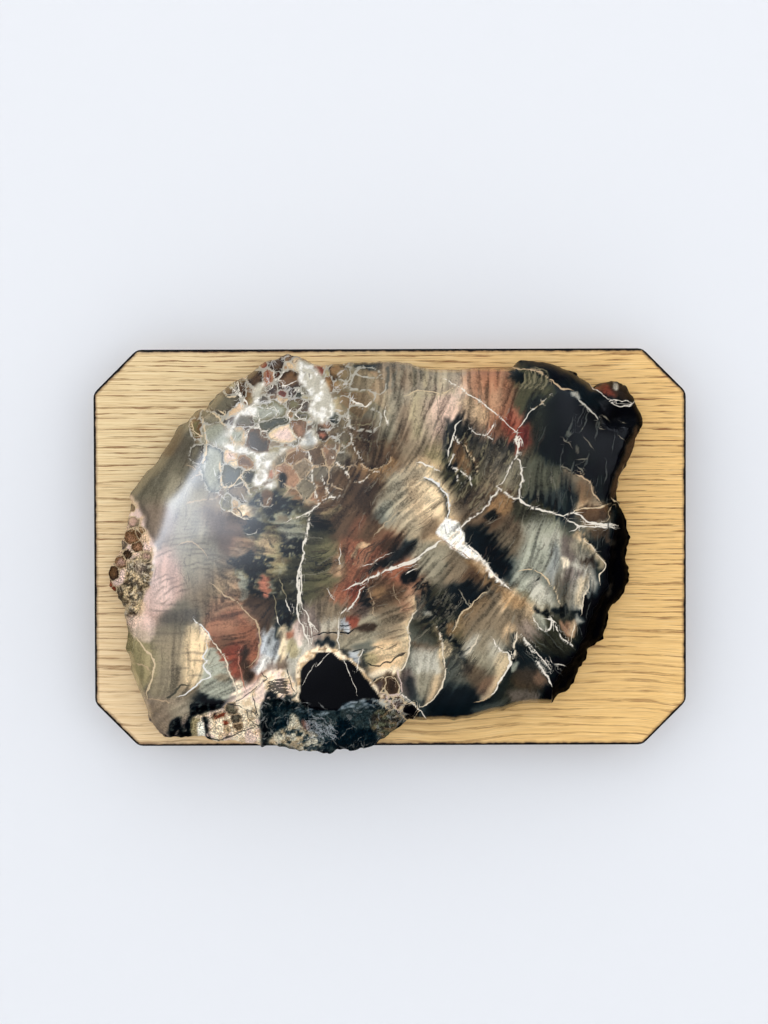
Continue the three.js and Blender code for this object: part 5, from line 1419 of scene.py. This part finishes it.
def low_left(c):
    """Cream rubble and black seams along the low left rim."""
    field = (-98, -84, -90, -81, -82, -79, -78, -76, -70, -73, -62, -62, -52, -60, -46, -70, -50, -74,
            -62, -78, -63.5, -97, -80, -97, -98, -94)
    c.patch("cream", 1, 1, field)
    c.mottle("blush", 5, 0.4, 0.62, field, 0.8, 1.5, 1)
    c.mottle("tan", 2.4, 0.52, 0.7, field, 0.6, 1.5, 2)
    for shape in ((-98, -76, -92, -75, -83, -74, -81, -76.5, -86, -79, -92, -80.5, -97, -83, -98.5, -80),
            (-107, -84, -103, -83, -102, -88, -99, -83, -97, -84, -97, -93, -104, -94, -109, -92),
            (-92, -83, -89, -84, -89.5, -90, -88, -95, -91, -95, -91.5, -88)):
        c.mottle("black", 1.8, 0.18, 0.32, shape, 0.95, 0.9, 4)
        c.mottle("slate", 1.6, 0.62, 0.75, shape, 0.6, 0.8, 5)
    c.patch("straw", 0.8, 0.9, -97.5, -84, -95, -83.5, -93, -84.5, -94.5, -92, -97.5, -92)
    c.patch("ivory", 0.6, 1, -94.5, -86, -92, -85, -91.5, -92.5, -94.5, -92.5)
    c.cells("tan", 0.8, (("smoke_dark", "smoke", -78, -78.6, 1.9, -76.6, -79.6, 1.6),
            ("smoke_dark", "smoke", -75.6, -83.4, 1.8), ("umber", "taupe", -74.6, -87, 1.6),
            ("brick", "umber", -80.4, -85.2, 0.9),
            ("brick", "umber", -85.6, -82.4, 0.9, -81.6, -81.4, 0.6), ("tan", "smoke", -80, -89, 1.1)))
    for width, *points in ((0.9, -89, -94, -84, -95, -80, -93, -74, -90.6, -69, -88.4, -64, -86.4),
            (0.8, -71, -79.6, -69.6, -83.6, -67, -86, -64, -87), (0.6, -67.6, -72, -66, -78, -65, -84),
            (0.8, -77, -75.4, -72, -73, -69, -71, -65, -67.6), (0.6, -80, -76.6, -75, -77, -72, -79),
            (1.0, -63, -62, -61, -64, -63, -66), (0.9, -50.6, -60, -50, -64, -48, -68, -47, -71),
            (0.5, -72, -78.6, -68, -80, -66, -83), (0.6, -90, -84, -85, -81.4, -80, -80.6)):
        c.stroke("ink", width, 0.9, points)
    for k in range(5):
        c.stroke("black", 1.3, 0.9,
                [(-60.6 + k * 0.3, -66 - k * 1.9), (-57, -65 - k * 1.7), (-52 + k * 0.5, -64.6 - k * 1.6)])
    c.mottle("black", 1.6, 0.3, 0.45, (-61, -71, -54, -72, -49, -72, -55, -76, -61, -76), 0.9, 0.8)
    c.patch("sand", 8, 0.28, -118, -45, -98, -45, -98, -75, -118, -72)


def lump(c):
    """Raw broken lump under the knot."""
    body = (-63.5, -76, -55, -74, -46, -72.5, -40, -77, -26, -78, -8, -74, 8, -77, 8, -84, 2, -90,
            -8, -98, -30, -103, -58, -98, -63.5, -97)
    c.patch("ink", 1.2, 1, body)
    c.mottle("slate", 3.2, 0.5, 0.78, body, 0.6, 1.5, 1)
    c.mottle("black", 2.2, 0.45, 0.6, body, 0.8, 1.5, 2)
    c.flecks("slate", 150, 2.8, 0.7, body, 0.75, None, 6)
    c.flecks("steel", 80, 2, 0.6, body, 0.75, None, 7)
    pale = (-49, -82, -46, -83, -44, -88, -38, -90, -34, -95, -40, -101, -50, -97.5, -59, -96, -56, -91,
            -50, -87)
    c.patch("tan", 1, 1, pale)
    c.mottle("cream", 2.4, 0.35, 0.55, pale, 0.9, 1.2, 3)
    c.mottle("ink", 1.7, 0.55, 0.66, pale, 0.8, 1, 4)
    c.patch("coral", 0.8, 0.8, -43.5, -84.5, -41, -86, -39.5, -88.5, -43, -88.5)
    c.patch("slate", 2, 0.5, -38, -81, -27, -80, -27, -88, -30, -95, -38, -88)
    c.flecks("fog", 30, 3.6, 0.6, (-42, -84, -28, -80, -27, -94, -40, -94), 0.7, -35, 8)
    c.flecks("fog", 46, 2.6, 0.7, (-46, -79, -26, -79, -20, -74, -4, -74, -2, -79, -24, -81, -44, -83),
            0.75, 8, 9)
    c.patch("slate", 1.5, 0.5, -24, -79, -8, -79, -9, -88, -18, -88)
    c.mottle("black", 3, 0.15, 0.4, (-26, -83, -17, -90, -9, -89, -9, -97, -26, -100), 0.85, 1.2, 5)
    gold = (-8.5, -81, 2, -80.5, 5, -84, 1, -90, -3, -93, -9, -89)
    c.patch("bark", 1, 1, gold)
    c.mottle("moss", 1.8, 0.42, 0.56, gold, 0.85, 1, 6)
    c.mottle("ochre", 1.4, 0.56, 0.68, gold, 0.9, 1, 7)
    c.cells("sand", 0.7, (("umber", "plum", -7, -68, 1.8, -4, -66, 1.6),
            ("umber", "bark", 0, -66.6, 2.2, 1.6, -69.6, 1.8), ("plum", "umber", -3, -72.6, 1.4),
            ("umber", "plum", 3.6, -75.6, 2), ("bark", "black", 9.4, -79.6, 2.6),
            ("umber", "plum", -0.4, -77.4, 1.3)))
    c.patch("pearl", 0.7, 0.9, -5, -74.5, -2.5, -75, -1.5, -77.5, -4.5, -78)
    c.flecks("pearl", 26, 2.4, 0.6, (-8, -73, 8, -73, 8, -84, -6, -81), 0.7, None, 10)
    for points in ((-9, -66, -6.5, -71, -3, -72.5, 1, -72.5, 6, -72.5), (-3, -72.5, 1, -76, 4, -80),
            (2.5, -60, 4, -65, 5.5, -71)):
        c.stroke("blush", 0.9, 0.85, points)
    c.patch("teal", 4, 0.22, -58, -76, 0, -78, 4, -98, -50, -100)


def pink_breccia(c):
    """Pink and grey breccia on the left rim."""
    rim = (-130, 24, -125, 22, -119, 8, -115, -4, -119, -16, -122, -36, -132, -36, -141, -18, -134, -2,
            -131, 8)
    c.patch("blush", 1.5, 0.9, rim)
    c.mottle("tan", 4, 0.4, 0.62, rim, 0.7, 1.5)
    c.cells("sand", 0.6, (("taupe", "pink", -126, 13, 1.9), ("brown", "clay", -127, 5.6, 2.5),
            ("umber", "clay", -123.4, 0.6, 1.8), ("bark", "umber", -128.4, -3, 1.5),
            ("taupe", "pink", -119.4, -4.4, 1.8), ("mauve", "taupe", -131, 1.6, 1.6),
            ("brown", "tan", -121.6, 9, 1.3), ("brown", "pink", -132, -7, 2.1),
            ("bark", "brown", -136, -12, 2.1), ("brick", "coral", -138, -18, 1.5),
            ("brick", "coral", -135.6, -20.4, 1.4), ("umber", "taupe", -127, 20, 1.4),
            ("umber", "clay", -124, 7, 1.4)))
    grey = (-129, -8, -124, -5, -117, -7, -117, -14, -121, -23, -127, -37, -132, -30, -134, -22,
            -130, -16)
    c.patch("straw", 1.5, 0.7, grey)
    c.mottle("smoke_dark", 2.2, 0.4, 0.58, grey, 0.85, 1.5, 1)
    c.mottle("sand", 1.4, 0.5, 0.64, grey, 0.8, 1.5, 2)
    c.flecks("bark", 60, 1.8, 0.7, grey, 0.8, None, 11)
    c.flecks("cream", 40, 1.6, 0.6, grey, 0.7, None, 12)
    c.patch("mauve", 1.5, 0.6, -126, -8, -121, -7, -119, -11, -124, -14)
    c.patch("straw", 2.5, 0.75, -130, -44, -122, -46, -117, -54, -118, -64, -124, -68, -129, -56)
    c.patch("moss", 3, 0.4, -130, -50, -125, -50, -121, -62, -126, -64)
    c.patch("blush", 2, 0.6, -128, -34, -117, -34, -116, -44, -122, -46, -128, -42)


ZONES = (left_face, breccia, under_breccia, dark_mottle, middle, streaked_beige, rust_top, dark_right,
         centre_right_top, middle_right, right_lobes, quartz, dark_streaks, low_lobes, scratches,
         rust_left, pink_breccia, low_left, lump, knot, side_facets, knob)
STREAK_STRENGTH = 0.42
DARK_STREAK = 0.2
VEIN_WIDTH = 0.54  # share of a vein's stated width that it gets
CONTRAST = 1.2
CONTRAST_MIDDLE = 0.45


def to_slab(points):
    """Places read in the photograph, put on the plane of the slab's rim, in mm from the board's middle."""
    plane = STONE_BACK / 1000 - 0.010
    placed = []
    for x, z in pairs(points):
        px, py = READ_ORIGIN[0] + x / READ_MM, READ_ORIGIN[1] - z / READ_MM
        ray = (FORWARD * FOCAL_PIXELS + RIGHT * (px - PICTURE_SIZE[0] / 2)
               - UP * (py - PICTURE_SIZE[1] / 2))
        hit = EYE + ray * ((plane - EYE.y) / ray.y)
        placed.append((hit.x * 1000, hit.z * 1000 - STONE_CENTRE_Z))
    return placed


def as_read(place):
    """Points of the slab, in metres, as the places where the photograph shows them."""
    away = place - np.array(EYE)
    depth = away @ np.array(FORWARD)
    px = PICTURE_SIZE[0] / 2 + FOCAL_PIXELS * (away @ np.array(RIGHT)) / depth
    py = PICTURE_SIZE[1] / 2 - FOCAL_PIXELS * (away @ np.array(UP)) / depth
    return (px - READ_ORIGIN[0]) * READ_MM, (READ_ORIGIN[1] - py) * READ_MM


def rim_at(x, z):
    """The rim's roll, edge thickness and rawness at places, from the nearest readings."""
    weights = np.zeros(x.shape)
    sums = np.zeros((3,) + x.shape)
    for rx, rz, *values in RIM:
        weight = 1 / (np.hypot(x - rx, z - rz) ** READING_POWER + 1)
        weights += weight
        sums += weight * np.array(values, float).reshape(3, *([1] * x.ndim))
    return sums / weights


def roughness(x, z, size, seed):
    """Broken stone: lumps with smaller lumps on them, -1 to 1."""
    return wander(x, z, ((1.1, size, seed), (0.6, size * 0.43, seed + 1), (0.44, size * 0.2, seed + 2)))


def thickness(x, z, from_rim):
    """Height of the face over the flat back, and how raw it is there, 0 to 1."""
    roll, edge, broken = rim_at(x, z)
    rolled = 1 - np.clip(from_rim / roll, 0, 1)
    across = ((x - CROWN_CENTRE[0]) / CROWN_RADII[0]) ** 2 + ((z - CROWN_CENTRE[1]) / CROWN_RADII[1]) ** 2
    crown = edge + (CROWN_THICKNESS - CROWN_FALL * across - edge) * (1 - rolled ** ROLL_POWER)
    ledge = np.zeros(x.shape)
    raw = np.zeros(x.shape)
    for drop, run, area in LEDGES:
        jagged = distance_to(x, z, area) + wander(x, z, LEDGE_JAGS)
        here = np.where(inside(x, z, area), jagged, 0)
        ledge = np.maximum(ledge, drop * step(0, run, here))
        raw = np.maximum(raw, step(0, 2.5, here) * (1 if drop > 3 else 0.25))
    raw = np.maximum(raw, broken ** 2 * step(0.15, 0.75, rolled))
    knob_x, knob_z, radius, lift = KNOB
    raised = lift * np.exp(-((x - knob_x) ** 2 + (z - knob_z) ** 2) / radius ** 2)
    lumps = RAW_LUMPS * raw * roughness(x, z, 6.0, 15)
    height = crown - ledge + raised + wander(x, z, FACE_SWELL) + lumps
    return np.maximum(height, THINNEST), raw


def even_ring(points, spacing):
    """A closed line resampled at an even spacing, anticlockwise."""
    p = smooth_line(points, closed=True, per_span=6)[::-1]
    lengths = np.hypot(*(np.roll(p, -1, axis=0) - p).T)
    total = np.append(0, np.cumsum(lengths))
    places = np.linspace(0, total[-1], int(total[-1] / spacing), endpoint=False)
    closed = np.vstack([p, p[:1]])
    return np.column_stack([np.interp(places, total, closed[:, k]) for k in (0, 1)])


def face_grid(ring, coarse):
    """Squares that fill the ring to just inside it: points, faces, and a test of which places they cover."""
    low, high = ring.min(0), ring.max(0) + MESH_STEP
    x, z = np.meshgrid(np.arange(low[0], high[0], MESH_STEP), np.arange(low[1], high[1], MESH_STEP))
    gap = distance_to(x, z, coarse)
    near = gap < 3
    gap[near] = distance_to(x[near], z[near], ring)
    kept = inside(x, z, ring) & (gap > 0.8 * MESH_STEP)
    index = np.full(x.shape, -1)
    index[kept] = np.arange(kept.sum())
    corners = np.stack([index[:-1, :-1], index[:-1, 1:], index[1:, 1:], index[1:, :-1]], -1)
    whole = (corners >= 0).all(-1)
    used = np.unique(corners[whole])
    renumber = np.full(kept.sum(), -1)
    renumber[used] = np.arange(len(used))

    def covered(places):
        column, row = ((places - low) / MESH_STEP).astype(int).T
        return whole[np.clip(row, 0, whole.shape[0] - 1), np.clip(column, 0, whole.shape[1] - 1)]

    return np.column_stack([x[kept], z[kept]])[used], renumber[corners[whole]], covered


def rim_band(points, quads, covered, ring):
    """Triangles between the squares' ragged border and the ring, whose points follow the squares' own."""
    sides = np.concatenate([quads[:, [k, (k + 1) % 4]] for k in range(4)])
    keys, counts = np.unique(np.sort(sides, axis=1), axis=0, return_counts=True)
    border = keys[counts == 1]
    near_rim = np.unique(border)
    local = {int(v): k for k, v in enumerate(near_rim)}
    first, count = len(near_rim), len(ring)
    places = [Vector(points[v]) for v in near_rim] + [Vector(p) for p in ring]
    edges = [(local[int(a)], local[int(b)]) for a, b in border]
    edges += [(first + k, first + (k + 1) % count) for k in range(count)]
    found, _, faces, origins, _, _ = delaunay_2d_cdt(places, edges, [], 0, 1e-7)
    centres = np.array([sum((found[v] for v in face), Vector((0, 0))) / 3 for face in faces])
    wanted = inside(centres[:, 0], centres[:, 1], ring) & ~covered(centres)
    band = []
    for k in np.nonzero(wanted)[0]:
        ids = [origins[v][0] for v in faces[k]]
        band.append([int(near_rim[v]) if v < first else len(points) + v - first for v in ids])
    return band


def slab_mesh():
    ring = even_ring(to_slab(OUTLINE), MESH_STEP)
    broken = rim_at(*ring.T)[2]
    jags = wander(*ring.T, RIM_JAGS) * (0.2 + 0.8 * broken)
    outward = ring - np.array(CROWN_CENTRE)
    outward /= np.linalg.norm(outward, axis=1)[:, None]
    coarse = ring[::4]
    ring = ring + outward * jags[:, None]
    points, quads, covered = face_grid(ring, coarse)
    faces = quads.tolist() + rim_band(points, quads, covered, ring)

    # heights over the face, then rows round the side down to the back
    flat = np.vstack([points, ring])
    height, raw = thickness(*flat.T, distance_to(*flat.T, coarse))
    top, count = len(points), len(ring)
    rows, row_heights = [flat], [height]
    for k, (inset, share) in enumerate(SIDE_ROWS):
        lumpy = min(k, 3) / 3 if share else 0
        lumps = roughness(ring[:, 0] + 7 * k, ring[:, 1] - 5 * k, 5.0, 21) * (0.3 + 1.1 * broken) * lumpy
        rows.append(ring - outward * (inset + lumps * 0.9)[:, None])
        row_heights.append(height[top:] * share)
    back = top + count * len(SIDE_ROWS)
    for upper in range(top, back, count):
        for k in range(count):
            after = (k + 1) % count
            faces.append([upper + k, upper + count + k, upper + count + after, upper + after])
    places = np.vstack(rows)
    height = np.concatenate(row_heights)
    raw = np.concatenate([raw] + [np.maximum(0.75, raw[top:])] * len(SIDE_ROWS))
    cap_points = [Vector(p) for p in places[back:]]
    cap_edges = [(k, (k + 1) % count) for k in range(count)]
    _, _, cap, origins, _, _ = delaunay_2d_cdt(cap_points, cap_edges, [], 1, 1e-7)
    faces += [[back + origins[v][0] for v in face][::-1] for face in cap]

    position = np.column_stack([places[:, 0], STONE_BACK - height, places[:, 1] + STONE_CENTRE_Z]) / 1000
    mesh = bpy.data.meshes.new("petrified_wood_slab")
    mesh.from_pydata(position.tolist(), [], faces)
    mesh.validate()
    for polygon in mesh.polygons:
        polygon.use_smooth = True
    return mesh, position, raw


def linear(colour):
    colour = np.clip(colour, 0, 1)
    return np.where(colour <= 0.04045, colour / 12.92, ((colour + 0.055) / 1.055) ** 2.4)


def add_colours(mesh, name, *channels):
    """A colour for every point of a mesh, from columns that make four channels."""
    layer = mesh.attributes.new(name, "FLOAT_COLOR", "POINT")
    layer.data.foreach_set("color", np.column_stack(channels).astype(np.float32).ravel())


slab, stone_points, stone_raw = slab_mesh()
canvas = Canvas(*as_read(stone_points))
canvas.washes(GROUND)
for paint_zone in ZONES:
    paint_zone(canvas)
canvas.rgb = CONTRAST_MIDDLE + (canvas.rgb - CONTRAST_MIDDLE) * CONTRAST
for vein_width, *vein in VEINS:
    canvas.line("ivory", vein_width * VEIN_WIDTH, vein, 0.92)
opaque = np.ones(len(stone_points))
add_colours(slab, "stone", linear(canvas.rgb), opaque)
add_colours(slab, "line_colour", linear(canvas.ink[:, :3]), canvas.ink[:, 3])
add_colours(slab, "line_place", 0.5 + canvas.side / (2 * FAR), canvas.away / FAR, canvas.half / FAR, opaque)
add_colours(slab, "grain", stone_raw, canvas.fine, canvas.broad, 1 - 0.75 * canvas.calm)


def stone_material():
    material, n, shader = new_material("polished petrified wood", 0.16)
    at = n.place_in_mm()
    base, ink, place, grain = (n.add("ShaderNodeAttribute", attribute_name=name).outputs
                               for name in ("stone", "line_colour", "line_place", "grain"))
    side, away, half = n.add("ShaderNodeSeparateColor", place["Color"]).outputs
    raw, fine, broad = n.add("ShaderNodeSeparateColor", grain["Color"]).outputs
    # sharp lines
    off_line = n.times(n.math("ABSOLUTE", n.minus(side, 0.5)), 2 * FAR)
    shiver = n.times(n.minus(n.noise(at, 1.6, 2.0, 0.6), 0.5), 0.45)
    over = n.minus(n.plus(off_line, shiver), n.times(half, FAR))
    close = n.ramp(n.times(away, FAR), 1.5, 2.1, 1.0, 0.0)
    line = n.times(n.times(n.ramp(over, -0.12, 0.16, 1.0, 0.0), close), ink["Alpha"])
    # streaks along the wood's grain, sharpened between the mesh's points, and mottling in the stone itself
    fleck = n.noise(at, 1.1, 4.0, 0.65)
    fine = n.plus(fine, n.times(n.minus(fleck, 0.5), 0.7))
    streaky = n.plus(n.ramp(fine, 0.32, 0.64, -0.5, 0.5), n.ramp(broad, 0.2, 0.8, -0.5, 0.5))
    streaky = n.times(n.times(streaky, grain["Alpha"]), STREAK_STRENGTH)
    dark = n.times(n.ramp(fine, 0.16, 0.27, DARK_STREAK, 0.0), grain["Alpha"])
    colour = n.shade(base["Color"], n.minus(n.plus(n.ramp(fleck, 0.3, 0.7, 0.85, 1.15), streaky), dark))
    colour = n.mix(line, colour, ink["Color"])
    grit = n.ramp(n.noise(at, 1.1, 5.0, 0.75), 0.35, 0.68, 0.35, 1.5)
    n.give(shader.inputs["Base Color"], n.mix(raw, colour, n.shade(colour, grit)))
    n.give(shader.inputs["Roughness"], n.ramp(raw, 0.05, 0.6, 0.24, 0.85))
    n.give(shader.inputs["Specular IOR Level"], n.ramp(raw, 0.05, 0.4, 0.5, 0.03))
    n.dents(shader, n.times(n.noise(at, 0.7, 5.0, 0.65), raw), 0.8, 0.0011)
    return material


slab.materials.append(stone_material())
stone = bpy.data.objects.new("petrified_wood_slab", slab)
bpy.context.scene.collection.objects.link(stone)
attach(stone, "root")
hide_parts("petrified_wood")


# Wall, floor and light
# A white wall behind the board and a pale floor below it, neither part of the object. Daylight comes from a
# tall window on the left and from overhead, and a small far one on the right.

WALL_WHITE = (0.80, 0.81, 0.83)
FLOOR_PALE = (0.84, 0.84, 0.84)
WALL_GAP = 0.0005  # behind the object, in metres as all sizes here
FLOOR_DROP = 1.2
WALL_TOP = 1.6
WALL_REACH = 3
FLOOR_REACH = 4
WINDOW_BLUE = (0.80, 0.88, 1.0)
SOFT_WHITE = (0.97, 0.98, 1.0)
# lights, seen from the board's middle: degrees to the right and up, distance, size and power
WINDOWS = {"window": (-17, 4, 2.2, (0.22, 0.36), 13.5), "far window": (19, 12, 2.6, (0.14, 0.30), 1.5)}
SOFT_LIGHTS = {"soft left": (-24, 16, 2.4, (1.4, 1.4), 2.4), "soft above": (-5, 45, 2.4, (2.2, 1.4), 1.6),
               "soft right": (26, 4, 2.4, (1.4, 1.4), 3.8)}
SKY_LOW, SKY_HIGH = (1.03, 1.05, 1.09), (1.05, 1.07, 1.11)
MIRRORED_LOW, MIRRORED_HIGH = (0.006, 0.006, 0.007), (0.09, 0.13, 0.17)


def plane_object(name, corners, material):
    mesh = bpy.data.meshes.new(name)
    mesh.from_pydata(corners, [], [(0, 1, 2, 3)])
    mesh.materials.append(material)
    item = bpy.data.objects.new(name, mesh)
    bpy.context.scene.collection.objects.link(item)
    item.visible_glossy = False
    return item


def wall_material():
    """Plain paint, seen from the front alone, so that the board's back can be looked at."""
    material, n, shader = new_material("wall paint", 0.85, WALL_WHITE)
    shader.inputs["Specular IOR Level"].default_value = 0.2
    clear = n.add("ShaderNodeBsdfTransparent")
    both = n.add("ShaderNodeMixShader", n.add("ShaderNodeNewGeometry").outputs["Backfacing"])
    n.give(both.inputs[1], shader.outputs[0])
    n.give(both.inputs[2], clear.outputs[0])
    n.give(material.node_tree.nodes["Material Output"].inputs["Surface"], both.outputs[0])
    return material


wall_corners = [(-WALL_REACH, WALL_GAP, -FLOOR_DROP), (WALL_REACH, WALL_GAP, -FLOOR_DROP),
                (WALL_REACH, WALL_GAP, WALL_TOP), (-WALL_REACH, WALL_GAP, WALL_TOP)]
wall = plane_object("wall", wall_corners, wall_material())
wall.visible_shadow = False
floor_corners = [(-FLOOR_REACH, -FLOOR_REACH, -FLOOR_DROP), (FLOOR_REACH, -FLOOR_REACH, -FLOOR_DROP),
                 (FLOOR_REACH, FLOOR_REACH, -FLOOR_DROP), (-FLOOR_REACH, FLOOR_REACH, -FLOOR_DROP)]
floor = plane_object("floor", floor_corners, new_material("pale floor", 0.8, FLOOR_PALE)[0])


def area_light(name, turn, lift, distance, size, power, colour):
    """A lamp out from the wall, turned to the right and lifted by degrees, that faces the board's middle."""
    data = bpy.data.lights.new(name, "AREA")
    data.shape = "RECTANGLE"
    data.size, data.size_y = size
    data.energy = power
    data.color = colour
    turn, lift = radians(turn), radians(lift)
    out = Vector((sin(turn) * cos(lift), -cos(turn) * cos(lift), sin(lift))) * distance
    lamp = bpy.data.objects.new(name, data)
    lamp.location = BOARD_MIDDLE + out
    lamp.rotation_euler = (-out).to_track_quat("-Z", "Y").to_euler()
    bpy.context.scene.collection.objects.link(lamp)
    return lamp


for light_name, setting in WINDOWS.items():
    area_light(light_name, *setting, WINDOW_BLUE).visible_diffuse = False
for light_name, setting in SOFT_LIGHTS.items():
    area_light(light_name, *setting, SOFT_WHITE).visible_glossy = False

world = bpy.data.worlds.new("room")
bpy.context.scene.world = world
world.use_nodes = True
room = Nodes(world.node_tree)
path = room.add("ShaderNodeLightPath")
look = room.add("ShaderNodeSeparateXYZ", room.add("ShaderNodeTexCoord").outputs["Generated"]).outputs[2]
sky = room.mix(room.ramp(look, -0.2, 0.7), SKY_LOW, SKY_HIGH)
mirrored = room.mix(room.ramp(look, 0.25, 0.8), MIRRORED_LOW, MIRRORED_HIGH)
seen = room.mix(path.outputs["Is Glossy Ray"], sky, mirrored)
seen = room.mix(path.outputs["Is Camera Ray"], seen, WALL_WHITE)
room.give(world.node_tree.nodes["Background"].inputs["Color"], seen)
bpy.context.scene.view_settings.view_transform = "Standard"
